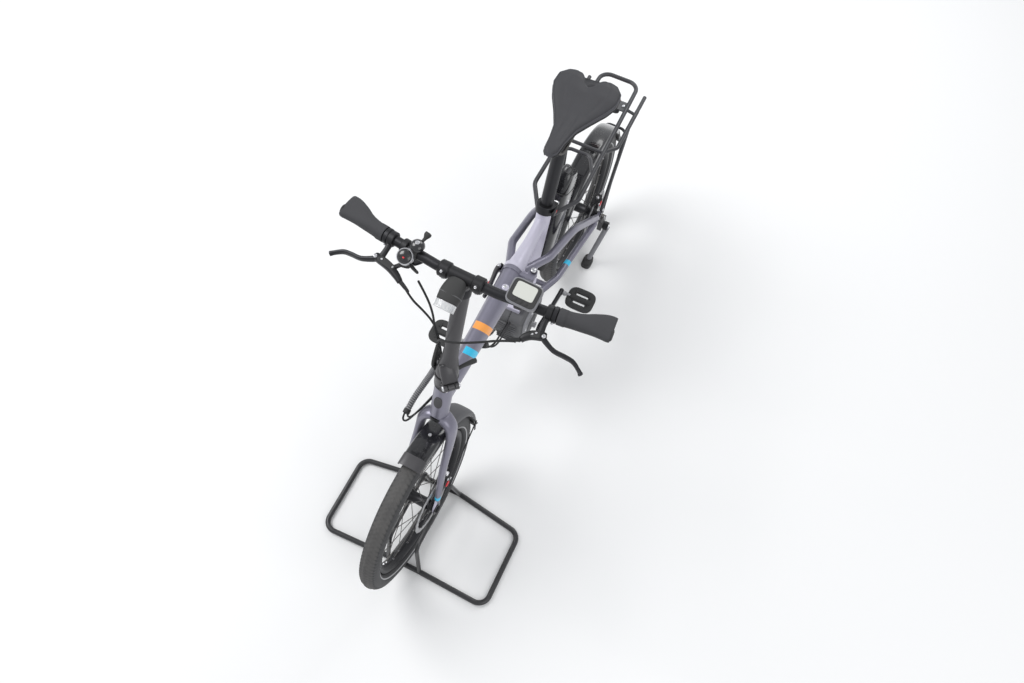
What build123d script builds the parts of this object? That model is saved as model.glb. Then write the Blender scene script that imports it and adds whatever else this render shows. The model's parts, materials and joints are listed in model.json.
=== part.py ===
from build123d import *
import math
import os

os.makedirs("parts", exist_ok=True)

# ---------------------------------------------------------------- driving dimensions, mm
# +X points forward, +Y to the rider's left and +Z up; the wheels stand on Z = 0.
# Places are first given from the point of the floor under the front axle, and save()
# moves every piece by front_axle_x and side_shift, so that the object's box is centred.
front_axle_x = 547.8
side_shift = -11.54
wheelbase = 1062
wheel_radius = 257
tyre_width = 54
rim_radius = 205
rim_width = 30
rim_depth = 15
spoke_count = 28
spoke_radius = 1.0
rotor_radius = 80

head_angle = 71.5
rake = 35
head_low = 556
head_top = 656
head_radius = 23
steerer_radius = 14.3
post_hinge_z = 690
bar_x = -262
bar_z = 988
bar_half = 311
bar_shift = 12
bar_radius = 11.1
clamp_half = 42

hinge_x = -542
hinge_z = 600
hinge_half_width = 31
hinge_half_height = 43
pivot_x = -554
pivot_y = 50
pivot_tilt = 1.5
knuckle_radius = 10

crank_x = -590
crank_z = 300
crank_length = 170
crank_angle = 16
chain_y = -50
pedal_y = 141
pedal_corner = 13

seat_angle = 73
seat_x = -733
seat_z = 654
seat_tube_radius = 20
seatpost_radius = 16.95
saddle_z = 902

dropout_gap_front = 50
dropout_gap_rear = 67.5
axle_radius = 6
running_gap = 0.08
rail_radius = 6
parked_steer = -2.5

# ---------------------------------------------------------------- worked-out places
rear_x = -wheelbase
axle_z = wheel_radius
sin_head = math.sin(math.radians(head_angle))
cos_head = math.cos(math.radians(head_angle))
head_up = Vector(-cos_head, 0, sin_head)
head_forward = Vector(sin_head, 0, cos_head)
sin_seat = math.sin(math.radians(seat_angle))
cos_seat = math.cos(math.radians(seat_angle))
seat_up = Vector(-cos_seat, 0, sin_seat)
seat_back = Vector(-sin_seat, 0, -cos_seat)


def head_x(z):
    """X of the steering axis at height z."""
    return -rake / sin_head - (z - axle_z) * cos_head / sin_head


def seat_line_x(z):
    """X of the seat tube's axis at height z."""
    return seat_x - (z - seat_z) * cos_seat / sin_seat


def head_plane(z):
    """Plane square to the steering axis: local x forward, y left, z up the axis."""
    return Plane(origin=(head_x(z), 0, z), x_dir=head_forward, z_dir=head_up)


def seat_plane(z):
    """Plane square to the seat tube: local x forward, y left, z up the tube."""
    return Plane(origin=(seat_line_x(z), 0, z), x_dir=-seat_back, z_dir=seat_up)


def around(x, z, radius, angle, y=0.0):
    """Point at an angle, in degrees from forward, on a circle round an axle at x, z."""
    turn = math.radians(angle)
    return (x + radius * math.cos(turn), y, z + radius * math.sin(turn))


# ---------------------------------------------------------------- shape helpers
def rod(start, end, radius, end_radius=None):
    """Straight round bar between two points, tapered when end_radius is given."""
    way = Vector(end) - Vector(start)
    plane = Plane(origin=start, z_dir=way)
    if end_radius is None:
        return plane * Pos(0, 0, way.length / 2) * Cylinder(radius, way.length)
    return plane * Pos(0, 0, way.length / 2) * Cone(radius, end_radius, way.length)


def pipe(points, radius, bend):
    """Round tube along straight runs joined by tangent arcs; bend is one radius or a list."""
    path = FilletPolyline(*points, radius=bend)
    start = Plane(origin=points[0], z_dir=Vector(points[1]) - Vector(points[0]))
    return sweep(start * Circle(radius), path=path)


def hoop(points, radius, bend):
    """Closed round tube through the given corners."""
    path = FilletPolyline(*points, radius=bend, close=True)
    start = Plane(origin=path.position_at(0), z_dir=path.tangent_at(0))
    return sweep(start * Circle(radius), path=path)


def hose(name, points, radius):
    """Cable whose arcs are as large as its runs allow; prints its smallest bend."""
    runs = [Vector(b) - Vector(a) for a, b in zip(points, points[1:])]
    bends = []
    for before, after in zip(runs, runs[1:]):
        turn = math.radians(before.get_angle(after))
        bends.append(0.45 * min(before.length, after.length) / math.tan(turn / 2))
    print(f"{name}: smallest bend {min(bends):.0f} mm, largest {max(bends):.0f} mm")
    return pipe(points, radius, bends)


def ring(outer, inner, width, x, y, z):
    """Flat ring round an axle that runs along Y."""
    return Pos(x, y, z) * Rot(90, 0, 0) * (Cylinder(outer, width) - Cylinder(inner, width + 2))


def disc(radius, width, x, y, z):
    """Disc round an axle that runs along Y."""
    return Pos(x, y, z) * Rot(90, 0, 0) * Cylinder(radius, width)


def turned(profile, x, z):
    """Solid of revolution about an axle at x, z; profile points are (y, radius)."""
    face = make_face(Polyline(*[(0, y, r) for y, r in profile], close=True))
    return Pos(x, 0, z) * revolve(face, axis=Axis.Y)


def plate(points, low_y, high_y):
    """Flat plate from an outline of (x, z) points, between two values of y."""
    face = make_face(Polyline(*[(x, low_y, z) for x, z in points], close=True))
    return extrude(face, amount=high_y - low_y, dir=(0, 1, 0))


def rounded_bar(start, end, wide, high, corner, side=(0, 1, 0)):
    """Straight bar of rounded rectangular section, its width along side."""
    way = Vector(end) - Vector(start)
    plane = Plane(origin=start, x_dir=side, z_dir=way)
    return extrude(plane * RectangleRounded(wide, high, corner), amount=way.length)


def fused(pieces):
    """All pieces joined into one solid."""
    whole = pieces[0]
    for piece in pieces[1:]:
        whole = whole + piece
    return whole


def save(name, shape):
    """Write one node, moved so that the whole object's box is centred."""
    placed = Pos(front_axle_x, side_shift, 0) * shape
    export_step(placed, f"parts/{name}.step")


def save_steered(name, shape, shift_y=0):
    """Write a node that turns with the fork, in the slightly turned place it is parked in."""
    steering_axis = Axis((head_x(head_low), 0, head_low), tuple(head_up))
    save(name, (Pos(0, shift_y, 0) * shape).rotate(steering_axis, parked_steer))


# ---------------------------------------------------------------- wheels
def tyre(x):
    """Round tyre: an oval body that narrows to two beads on the rim."""
    centre = wheel_radius - tyre_width / 2
    half = tyre_width / 2
    crown = [(half * math.sin(math.radians(a)), centre + half * math.cos(math.radians(a)))
             for a in range(-120, 121, 15)]
    outline = [(-rim_width / 2 + 3, rim_radius)] + crown + [(rim_width / 2 - 3, rim_radius)]
    return turned(outline, x, axle_z)


def rim_profile():
    """Half section of the double-walled rim, as (y, radius) points."""
    half = rim_width / 2
    return [(-half, rim_radius), (half, rim_radius), (half, rim_radius - 9),
            (5, rim_radius - rim_depth), (-5, rim_radius - rim_depth), (-half, rim_radius - 9)]


def spokes(x, flange_y, flange_radius):
    """Wire spokes laid crossing, half from each flange."""
    wires = []
    for index in range(spoke_count):
        side = 1 if index % 2 else -1
        lead = 32 if index % 4 < 2 else -32
        angle = 360 * index / spoke_count
        foot = around(x, axle_z, flange_radius, angle + lead, side * flange_y)
        head = around(x, axle_z, rim_radius - rim_depth + 3, angle, 0)
        wires.append(rod(foot, head, spoke_radius))
    return wires


def built_wheel(x, half_hub, shell_radius, flange_y, flange_radius):
    """Rim, spokes and hub shell joined as one wheel, bored for its axle."""
    rim = turned(rim_profile(), x, axle_z)
    hub = disc(shell_radius, 2 * flange_y, x, 0, axle_z)
    hub += disc(12, 2 * half_hub, x, 0, axle_z)
    for side in (-1, 1):
        hub += disc(flange_radius + 4, 4, x, side * flange_y, axle_z)
    wheel = fused([rim, hub] + spokes(x, flange_y, flange_radius))
    return wheel - disc(axle_radius + running_gap, 300, x, 0, axle_z)


def rotor(x, y):
    """Brake disc with its arms, on the left of the hub."""
    blade = ring(rotor_radius, rotor_radius - 13, 2, x, y, axle_z)
    carrier = ring(24, 12, 2, x, y, axle_z)
    arms = []
    for index in range(6):
        angle = 60 * index
        inner = around(x, axle_z, 20, angle, y)
        outer = around(x, axle_z, rotor_radius - 8, angle + 24, y)
        arms.append(rounded_bar(inner, outer, 2, 7, 0.4))
    return fused([blade, carrier] + arms)


front_hub_half = dropout_gap_front - 0.5
rear_hub_half = dropout_gap_rear - 0.5
front_rotor_y = 40
rear_rotor_y = 54
save_steered("front_tyre", tyre(0))
save_steered("front_wheel", built_wheel(0, front_hub_half, 15, 28, 24))
save_steered("front_rotor", rotor(0, front_rotor_y))
save("rear_tyre", tyre(rear_x))
save("rear_wheel", built_wheel(rear_x, rear_hub_half, 16, 29, 26))
save("rear_rotor", rotor(rear_x, rear_rotor_y))

cog_radii = [46, 42, 38, 34, 30, 26, 22]
cassette = fused([ring(r, 12, 2.4, rear_x, -35 - 3.6 * i, axle_z) for i, r in enumerate(cog_radii)]
                 + [ring(20, 12, 27, rear_x, -46, axle_z)])
save("cassette", cassette)

# ---------------------------------------------------------------- fork, held by the stand
blade_top_z = 492
dropout_y = dropout_gap_front + 3


def crown_arch():
    """Rounded arch over the wheel, square to the steering axis."""
    low = -62
    outer = make_face(Polyline((50, low), (50, -26), (38, -8), (22, 0), (-22, 0), (-38, -8),
                               (-50, -26), (-50, low), close=True))
    inner = make_face(Polyline((32, low - 1), (32, -44), (22, -29), (-22, -29), (-32, -44),
                               (-32, low - 1), close=True))
    plane = Plane(origin=(head_x(head_low - 4), 0, head_low - 4), x_dir=(0, 1, 0), z_dir=head_forward)
    arch = extrude(plane * (outer - inner), amount=16, both=True)
    return arch


def blade(side):
    """Fork blade: an oval that narrows from the crown down to the dropout."""
    top = Plane(origin=(head_x(blade_top_z) - 2, side * 41, blade_top_z + 6), z_dir=(0, 0, 1))
    low = Plane(origin=(-16, side * dropout_y, axle_z + 30), z_dir=(0, 0, 1))
    upper = top * Ellipse(16, 9)
    lower = low * Ellipse(10, 7)
    return loft([lower, upper])


def fork_dropout(side):
    """Flat dropout round the axle, rising into the blade."""
    low = dropout_gap_front if side > 0 else -dropout_gap_front - 6
    outline = [(-14, axle_z - 12), (10, axle_z - 12), (14, axle_z), (8, axle_z + 16),
               (-8, axle_z + 40), (-26, axle_z + 40), (-18, axle_z + 8)]
    return plate(outline, low, low + 6)


steerer = head_plane(head_low - 8) * Pos(0, 0, 68) * Cylinder(steerer_radius, 136)
crown_race = head_plane(head_low - 4) * Pos(0, 0, 0.5) * Cylinder(21, 6)
fork = fused([crown_arch(), steerer, crown_race] + [blade(s) for s in (-1, 1)]
             + [fork_dropout(s) for s in (-1, 1)])
fork -= disc(axle_radius, 200, 0, 0, axle_z)
save_steered("fork", fork)



def axle(x, face_y):
    """Axle through the dropouts with a round nut on each outer face."""
    bar = disc(axle_radius, 2 * face_y + 4, x, 0, axle_z)
    for side in (-1, 1):
        bar += disc(11, 8, x, side * (face_y + 4), axle_z)
    return bar


eyelet_thick = 2
front_face_y = dropout_gap_front + 6 + eyelet_thick
rear_face_y = dropout_gap_rear + 7 + eyelet_thick
save_steered("front_axle", axle(0, front_face_y))


def caliper(x, rotor_y, angle, reach):
    """Disc caliper: a slotted body over the rotor's edge with a foot to the frame."""
    plane = Plane(origin=around(x, axle_z, rotor_radius - 8, angle, rotor_y),
                  x_dir=around(0, 0, 1, angle), z_dir=(0, 1, 0))
    body = plane * Pos(0, 0, 1) * Box(36, 40, 22)
    slot = plane * Pos(-8, 0, 0) * Box(42, 60, 6)
    foot = plane * Pos(11, 0, 12 + reach / 2) * Box(12, 30, reach)
    return fillet(body.edges().filter_by(Axis.Y), 5) - slot + foot


save_steered("front_caliper", caliper(0, front_rotor_y, 150, 4))


def fender(x, radius, width, first, last):
    """Curved mudguard: a thin arched channel round the wheel from one angle to the other."""
    thick = 2.2
    half = width / 2
    drop = 14
    outline = [(-half, radius - drop), (-half, radius - 4), (-half + 8, radius), (half - 8, radius),
               (half, radius - 4), (half, radius - drop), (half - thick, radius - drop),
               (half - thick, radius - 5), (half - 9, radius - thick), (-half + 9, radius - thick),
               (-half + thick, radius - 5), (-half + thick, radius - drop)]
    start = around(0, 0, 1, first)
    plane = Plane(origin=(x, 0, axle_z), x_dir=(0, 1, 0), z_dir=(start[2], 0, -start[0]))
    face = plane * make_face(Polyline(*outline, close=True))
    return revolve(face, axis=Axis((x, 0, axle_z), (0, -1, 0)), revolution_arc=last - first)


fender_width = 60
front_fender = fender(0, 270, fender_width, 88, 188)
save_steered("front_fender", front_fender)


def fender_stays(x, radius, angles, half_axle, wire):
    """Wire stays from beside the axle out to the fender's edges."""
    stays = []
    for side in (-1, 1):
        for angle in angles:
            foot = around(x, axle_z, 16, angle, side * half_axle)
            head = around(x, axle_z, radius - 10, angle, side * (fender_width / 2 + wire))
            stays.append(rod(foot, head, wire))
        eyelet = disc(18, eyelet_thick, x, side * half_axle, axle_z)
        stays[-1] += eyelet - disc(axle_radius, 300, x, 0, axle_z)
    return stays


# ---------------------------------------------------------------- display stand, floor frame and side hoops
stand_tube = 7.5
stand_half_width = 257
stand_shift = 5
stand_front = 130
stand_rear = -97
kink_front = 123
kink_rear = -128
kink_y = 50
hoop_y = 40
hoop_top = 150
stand_bend = 32

floor_frame = hoop([(stand_front, stand_half_width, stand_tube), (kink_front, kink_y, stand_tube),
                    (kink_front, -kink_y, stand_tube), (stand_front, -stand_half_width, stand_tube),
                    (stand_rear, -stand_half_width, stand_tube), (kink_rear, -kink_y, stand_tube),
                    (kink_rear, kink_y, stand_tube), (stand_rear, stand_half_width, stand_tube)],
                   stand_tube, [stand_bend, 60, 60, stand_bend, stand_bend, 60, 60, stand_bend])
uprights = []
for side in (-1, 1):
    foot_y = side * kink_y + stand_shift
    uprights.append(pipe([(kink_front, foot_y, stand_tube), (kink_front - 26, side * hoop_y, hoop_top),
                          (kink_rear + 28, side * hoop_y, hoop_top), (kink_rear, foot_y, stand_tube)],
                         6, 24))
save("display_stand", fused([Pos(0, stand_shift, 0) * floor_frame] + uprights))

# ---------------------------------------------------------------- handlepost base on the steerer
base = head_plane(head_top + 1) * Pos(0, 0, 16.5) * Cylinder(25, 33)
post_pivot_out = 37
knuckle_plane = Plane(origin=(head_x(post_hinge_z), 0, post_hinge_z),
                      x_dir=(math.sqrt(0.5), math.sqrt(0.5), 0), z_dir=(math.sqrt(0.5), -math.sqrt(0.5), 0))
base_lug = knuckle_plane * Pos(26, -9, 0) * Box(28, 12, 16)
base_lug += knuckle_plane * Pos(post_pivot_out, 0, 0) * Cylinder(9, 16)
post_pin = knuckle_plane * Pos(post_pivot_out, 0, 0) * Cylinder(4, 44)
handlepost_base = (base + base_lug + post_pin) - steerer
save_steered("handlepost_base", handlepost_base)

# ---------------------------------------------------------------- front frame half
head_tube = head_plane(head_low) * Pos(0, 0, (head_top - head_low) / 2 / sin_head)
head_length = (head_top - head_low) / sin_head - 1
head_shell = head_tube * Cylinder(head_radius, head_length)
head_bore = head_tube * Cylinder(steerer_radius + 3, head_length + 40)
tube_sections = [(-150, 610, 20, 27), (-240, 608, 22, 32), (-380, 603, 25, 37), (hinge_x + 12, hinge_z, 29, 41)]
main_tube = loft([Plane(origin=(x, 0, z), x_dir=(0, 1, 0), z_dir=(-1, 0, 0)) * Ellipse(half_w, half_h)
                  for x, z, half_w, half_h in tube_sections])
collar_thick = 12


def collar(front_x):
    """Oval hinge plate whose front face is at front_x."""
    face = Plane(origin=(front_x, 0, hinge_z), x_dir=(0, 1, 0), z_dir=(-1, 0, 0))
    return extrude(face * Ellipse(hinge_half_width, hinge_half_height), amount=collar_thick)


pivot_axis = Vector(-math.sin(math.radians(pivot_tilt)), 0, math.cos(math.radians(pivot_tilt)))
pivot_plane = Plane(origin=(pivot_x, pivot_y, hinge_z), x_dir=(0, 1, 0), z_dir=pivot_axis)


def block(x_range, y_range, z_range):
    """Box between the given pairs of x, y and z."""
    sizes = [high - low for low, high in (x_range, y_range, z_range)]
    middle = [(high + low) / 2 for low, high in (x_range, y_range, z_range)]
    return Pos(*middle) * Box(*sizes)


def barrel(low, high):
    """Round hinge knuckle on the pivot's axis between two heights from its middle."""
    return pivot_plane * Pos(0, 0, (low + high) / 2) * Cylinder(knuckle_radius, high - low)


def front_knuckle(low, high):
    """Outer knuckle, carried back past the joint's face by an arm outside the rear plate."""
    heights = (hinge_z + low, hinge_z + high)
    web = block((hinge_x + 1, hinge_x + collar_thick), (19, pivot_y + 9), heights)
    arm = block((pivot_x, hinge_x + collar_thick), (39, pivot_y + 9), heights)
    return barrel(low, high) + web + arm


pin_hole = pivot_plane * Cylinder(5 + running_gap, 200)
pivot_pin = pivot_plane * Cylinder(5, 72)
front_frame = (head_shell + main_tube + collar(hinge_x + collar_thick)) - head_bore
front_frame += front_knuckle(14, 30) + front_knuckle(-30, -14)
front_frame = front_frame - pivot_plane * Cylinder(5, 200) + pivot_pin
save("front_frame", front_frame)

latch = rounded_bar((hinge_x + 2, -hinge_half_width - 8, hinge_z + 6), (hinge_x + 96, -34, hinge_z + 2), 11, 24, 4)
save("frame_latch", latch)

# ---------------------------------------------------------------- handlepost and cockpit
post_low = post_hinge_z + 1
post_plane = head_plane(post_low)
post_length = 276
post_tube = loft([head_plane(post_low) * Circle(24), head_plane(post_low + 30) * Circle(20),
                  head_plane(post_low + 70) * Circle(17.5)])
post_tube += head_plane(post_low + 60) * Pos(0, 0, (post_length - 60) / 2) * Cylinder(17.5, post_length - 60)
post_lugs = []
for side in (-1, 1):
    arm = knuckle_plane * Pos(post_pivot_out - 13, 11.5, side * 13.5) * Box(36, 10, 9)
    eye = knuckle_plane * Pos(post_pivot_out, 0, side * 13.5) * Cylinder(9, 9)
    post_lugs.append(arm + eye)
handlepost = fused([post_tube] + post_lugs) - knuckle_plane * Pos(post_pivot_out, 0, 0) * Cylinder(4 + running_gap, 80)
save_steered("handlepost", handlepost)

post_latch = rounded_bar((head_x(700) + 8, -32, 690), (head_x(744) + 5, -32, 744), 9, 16, 3.5)
save_steered("post_latch", post_latch)

stem_z = post_low + post_length * sin_head
stem_body = rod((head_x(stem_z), 0, stem_z), (bar_x, 0, bar_z), 15)
stem_body += rod((bar_x, -clamp_half - 6, bar_z), (bar_x, clamp_half + 6, bar_z), 17)
stem_body -= rod((bar_x, -80, bar_z), (bar_x, 80, bar_z), bar_radius)
stem_body -= post_tube
save_steered("stem", stem_body)

bar_points = [(bar_x - 24, -bar_half + 8, bar_z), (bar_x, -70, bar_z), (bar_x, 70, bar_z),
              (bar_x - 24, bar_half - 8, bar_z)]
handlebar = pipe(bar_points, bar_radius, 120)
save_steered("handlebar", handlebar, bar_shift)


def bar_at(y):
    """Point of the handlebar's centre line at a given y."""
    out = max(abs(y) - 70, 0)
    return (bar_x - 24 * out / (bar_half - 78), y, bar_z)


bar_space = pipe(bar_points, bar_radius + 0.05, 120)


def sleeve(low_y, high_y, radius):
    """Round sleeve on the handlebar between two values of y."""
    return rod(bar_at(low_y), bar_at(high_y), radius) - bar_space


for name, side in (("grip_left", 1), ("grip_right", -1)):
    inner, outer = side * 197, side * bar_half
    grip = rod(bar_at(inner), bar_at(outer), 16.5)
    wing = Pos(bar_at(outer - side * 42)[0] - 16, outer - side * 42, bar_z - 2) * Box(26, 76, 14)
    grip += fillet(wing.edges().filter_by(Axis.Z), 10)
    save_steered(name, grip - bar_space, bar_shift)

for name, side, inward in (("brake_lever_left", 1, 33), ("brake_lever_right", -1, 67)):
    clamp_y = side * 181
    cx = bar_at(clamp_y)[0]
    clamp = sleeve(clamp_y - 7, clamp_y + 7, 17)
    body = rounded_bar((cx + 76, clamp_y - side * inward, bar_z - 18), (cx + 44, clamp_y + side * 14, bar_z - 14),
                       15, 17, 6, side=(1, 0, 0))
    neck = rod((cx + 15, clamp_y, bar_z - 3), (cx + 44, clamp_y, bar_z - 12), 8)
    lever = pipe([(cx + 46, clamp_y + side * 4, bar_z - 14), (cx + 60, clamp_y + side * 34, bar_z - 20),
                  (cx + 62, clamp_y + side * 84, bar_z - 28), (cx + 78, clamp_y + side * 110, bar_z - 32)],
                 5.5, [20, 30])
    save_steered(name, fused([clamp, body, neck, lever]) - bar_space, bar_shift)

shifter_y = -148
shifter = sleeve(shifter_y - 8, shifter_y + 8, 16.5)
shifter += Pos(bar_x + 6, shifter_y - 2, bar_z - 24) * Box(40, 24, 20)
save_steered("shifter", shifter - bar_space, bar_shift)

bell_y = -122
bell = sleeve(bell_y - 5, bell_y + 5, 16)
bell += rod((bar_x - 8, bell_y, bar_z + 12), (bar_x - 8, bell_y, bar_z + 24), 6)
bell += Pos(bar_x - 12, bell_y, bar_z + 27) * Cylinder(14, 10)
save_steered("bell", bell, bar_shift)

display_y = 118
display = sleeve(display_y - 9, display_y + 9, 16.5)
display_plane = Plane(origin=(bar_x - 6, display_y + 6, bar_z + 26), x_dir=(1, 0, -0.35), z_dir=(0.35, 0, 1))
display += display_plane * Box(50, 62, 16)
display += rod((bar_x, display_y, bar_z + 8), (bar_x, display_y, bar_z + 24), 12)
display -= bar_space
save_steered("display", display, bar_shift)

lamp_x = bar_x + 41
lamp_z = bar_z - 3
lamp = fillet((Pos(lamp_x, 0, lamp_z) * Box(50, 46, 36)).edges().filter_by(Axis.X), 14)
lamp += rod((lamp_x + 20, 0, lamp_z - 6), (lamp_x + 34, 0, lamp_z - 13), 19)
save_steered("headlamp", lamp - stem_body - bar_space)

# ---------------------------------------------------------------- rear frame half
rear_collar = collar(hinge_x - 0.6)
rear_web = block((pivot_x - 0.6, hinge_x - 1.5), (19, pivot_y), (hinge_z - 13.4, hinge_z + 13.4))
rear_knuckle = barrel(-13.4, 13.4) + rear_web - pin_hole
seat_tube_top = 650
seat_tube_low = 400
seat_tube_length = (seat_tube_top - seat_tube_low) / sin_seat
seat_tube = seat_plane(seat_tube_low) * Pos(0, 0, seat_tube_length / 2) * Cylinder(seat_tube_radius, seat_tube_length)
top_tube = loft([Plane(origin=(hinge_x - 12, 0, hinge_z), x_dir=(0, 1, 0), z_dir=(-1, 0, 0)) * Ellipse(27, 38),
                 Plane(origin=(hinge_x - 60, 0, hinge_z + 6), x_dir=(0, 1, 0), z_dir=(-1, 0, 0)) * Ellipse(20, 24),
                 Plane(origin=(seat_line_x(616) + 4, 0, 616), x_dir=(0, 1, 0), z_dir=(-1, 0, 0)) * Ellipse(17, 19)])
seat_bore = seat_plane(seat_tube_low) * Pos(0, 0, seat_tube_length / 2 + 14) * Cylinder(
    seatpost_radius + running_gap, seat_tube_length + 28)
mount_arm = plate([(-556, 400), (-556, 385), (-650, 385), (-668, 402), (-657, 446), (-612, 430)], -22, 22)
rear_frame = (rear_collar + rear_knuckle + seat_tube + top_tube + mount_arm) - seat_bore
save("rear_frame", rear_frame)

stay_pieces = []
for side in (-1, 1):
    bowed = pipe([(hinge_x - 18, side * 19, hinge_z + 2), (-655, side * 54, 560), (-825, side * 63, 480),
                  (rear_x + 34, side * 71, 286)], 11, [90, 260])
    chainstay = pipe([(-640, side * 32, 326), (-690, side * 34, 320), (-760, side * 56, 310),
                      (rear_x + 40, side * 71, 264)], 10, [60, 120])
    outline = [(rear_x - 16, axle_z - 14), (rear_x + 16, axle_z - 16), (rear_x + 40, axle_z - 4),
               (rear_x + 48, axle_z + 34), (rear_x + 10, axle_z + 24), (rear_x - 14, axle_z + 14)]
    low = dropout_gap_rear if side > 0 else -dropout_gap_rear - 7
    stay_pieces += [bowed, chainstay, plate(outline, low, low + 7)]
bridge = rod((-716, -46, 318), (-716, 46, 318), 8)
rear_stays = fused(stay_pieces + [bridge]) - disc(axle_radius, 200, rear_x, 0, axle_z)
save("rear_axle", axle(rear_x, rear_face_y))

motor_outline = [(-528, 300), (-530, 376), (-560, 385), (-640, 385), (-672, 352), (-668, 300), (-640, 262),
                 (-590, 244), (-545, 256)]
motor = plate(motor_outline, -40, 44)
motor = fillet(motor.edges().filter_by(Axis.Y), 12)
motor -= disc(9 + running_gap, 200, crank_x, 0, crank_z)
save("motor", motor)
save("rear_stays", rear_stays - rear_frame - motor)

battery_plane = Plane(origin=(-798, 0, 532), x_dir=(1, 0, 0.46), z_dir=(-0.46, 0, 1))
battery = battery_plane * Box(86, 62, 300)
battery = fillet(battery.edges().filter_by(lambda e: abs(e.tangent_at(0.5).Y) < 0.1 and e.length > 200), 16)
save("battery", battery)

clamp_plane = seat_plane(seat_tube_top)
seat_clamp = clamp_plane * Pos(0, 0, 8) * Cylinder(25, 22)
seat_clamp -= clamp_plane * Pos(0, 0, -6) * Cylinder(seat_tube_radius, 12)
seat_clamp -= clamp_plane * Cylinder(seatpost_radius + running_gap, 80)
seat_clamp += clamp_plane * Pos(6, -30, 8) * Box(30, 14, 12)
save("seat_clamp", seat_clamp)

rack_z = 634
rack_rear = -1262
rack_half = 56
rack_front_half = 64
pannier_y = 86
pannier_z = 622
rail_end_x = rack_rear + 24
rail_end_length = 60
rail_end_radius = 5.5
rack_top = pipe([(seat_line_x(rack_z) - 8, 22, rack_z), (-806, rack_front_half, rack_z), (rack_rear, rack_half, rack_z),
                 (rack_rear, -rack_half, rack_z), (-806, -rack_front_half, rack_z),
                 (seat_line_x(rack_z) - 8, -22, rack_z)], rail_radius, [40, 30, 30, 40])
cross_bar = rod((-985, -60, rack_z), (-985, 60, rack_z), 5)
curved_bar = pipe([(-905, -61, rack_z), (-958, -34, rack_z), (-958, 34, rack_z), (-905, 61, rack_z)], 5, 26)
light_plate = Pos(-1168, 0, rack_z - 3) * Box(34, 112, 4)
rack_pieces = [rack_top, cross_bar, curved_bar, light_plate]
for side in (-1, 1):
    rack_pieces.append(pipe([(-990, side * (rack_half + 3), rack_z - 3), (-1030, side * pannier_y, pannier_z),
                             (rail_end_x + rail_end_length, side * pannier_y, pannier_z)], rail_radius, 24))
    rack_pieces.append(rod((rail_end_x + rail_end_length, side * pannier_y, pannier_z),
                           (rail_end_x, side * pannier_y, pannier_z), rail_end_radius))
    rack_pieces.append(pipe([(-1112, side * pannier_y, pannier_z), (-1106, side * 84, 560),
                             (rear_x - 8, side * 72, axle_z + 20)], 5.5, 60))
    rack_pieces.append(rod((-1160, side * rack_half, rack_z), (-1164, side * pannier_y, pannier_z), 4.5))
rack = fused(rack_pieces)
save("rack", rack - rear_frame)

rear_fender = fender(rear_x, 270, fender_width, 30, 168)
tail_angle = 167
tail_tip = around(rear_x, axle_z, 297, tail_angle)
tail_root = around(rear_x, axle_z, 268, tail_angle - 9)
rear_fender += rounded_bar(tail_root, tail_tip, fender_width - 8, 3, 1.2)
save("rear_fender", rear_fender)
stay_radius = 4.5
stay_foot = around(rear_x, axle_z, 14, 160, rear_face_y - 1)
stay_bend = around(rear_x, axle_z, 292, 160, fender_width / 2 + stay_radius + 1)
stay_loop = [stay_foot, stay_bend, (stay_bend[0], -stay_bend[1], stay_bend[2]), (stay_foot[0], -stay_foot[1], stay_foot[2])]
rear_fender_stays = pipe(stay_loop, stay_radius, 22)
for side in (-1, 1):
    rear_fender_stays += disc(18, eyelet_thick, rear_x, side * (rear_face_y - 1), axle_z)
rear_fender_stays -= disc(axle_radius, 300, rear_x, 0, axle_z) + rear_fender + rear_stays
save("rear_fender_stays", rear_fender_stays)
save_steered("front_fender_stays", Compound(children=fender_stays(0, 272, (176,), front_face_y - 1, 1.8)))

save("rear_caliper", caliper(rear_x, rear_rotor_y, 84, 2) - rear_stays)

lamp_rear = Pos(-1178, 0, rack_z - 22) * Box(18, 76, 34)
save("tail_light", fillet(lamp_rear.edges().filter_by(Axis.X), 8))

# ---------------------------------------------------------------- crankset, chain and pedals
crank_turn = math.radians(crank_angle)
front_pedal = (crank_x + crank_length * math.cos(crank_turn), crank_z + crank_length * math.sin(crank_turn))
rear_pedal = (crank_x - crank_length * math.cos(crank_turn), crank_z - crank_length * math.sin(crank_turn))


def crank(pedal, low_y, high_y):
    """Tapered crank arm from the spindle to the pedal eye."""
    middle = (low_y + high_y) / 2
    boss = disc(17, high_y - low_y, crank_x, middle, crank_z)
    eye = disc(12, high_y - low_y, pedal[0], middle, pedal[1])
    way = Vector(pedal[0] - crank_x, 0, pedal[1] - crank_z).normalized()
    across = Vector(-way.Z, 0, way.X)
    edge = []
    for along, half in ((0, 14), (crank_length, 9), (crank_length, -9), (0, -14)):
        edge.append((crank_x + way.X * along + across.X * half, crank_z + way.Z * along + across.Z * half))
    arm = plate(edge, low_y, high_y) + boss + eye
    return arm - Pos(pedal[0], middle, pedal[1]) * Rot(90, 0, 0) * Cylinder(6 + running_gap, 60)


save("crank_left", crank(rear_pedal, 70, 84))
save("crank_right", crank(front_pedal, -84, -70) + disc(9, 150, crank_x, -5, crank_z) - disc(9, 20, crank_x, 80, crank_z))
chainring_radius = 76
chainring = ring(chainring_radius, 50, 4, crank_x, chain_y, crank_z)
for index in range(4):
    angle = crank_angle + 45 + 90 * index
    chainring += rounded_bar(around(crank_x, crank_z, 16, angle, chain_y), around(crank_x, crank_z, 54, angle, chain_y),
                             4, 14, 1.5)
chainring += ring(20, 9, 14, crank_x, -58, crank_z)
save("chainring", chainring)


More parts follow.
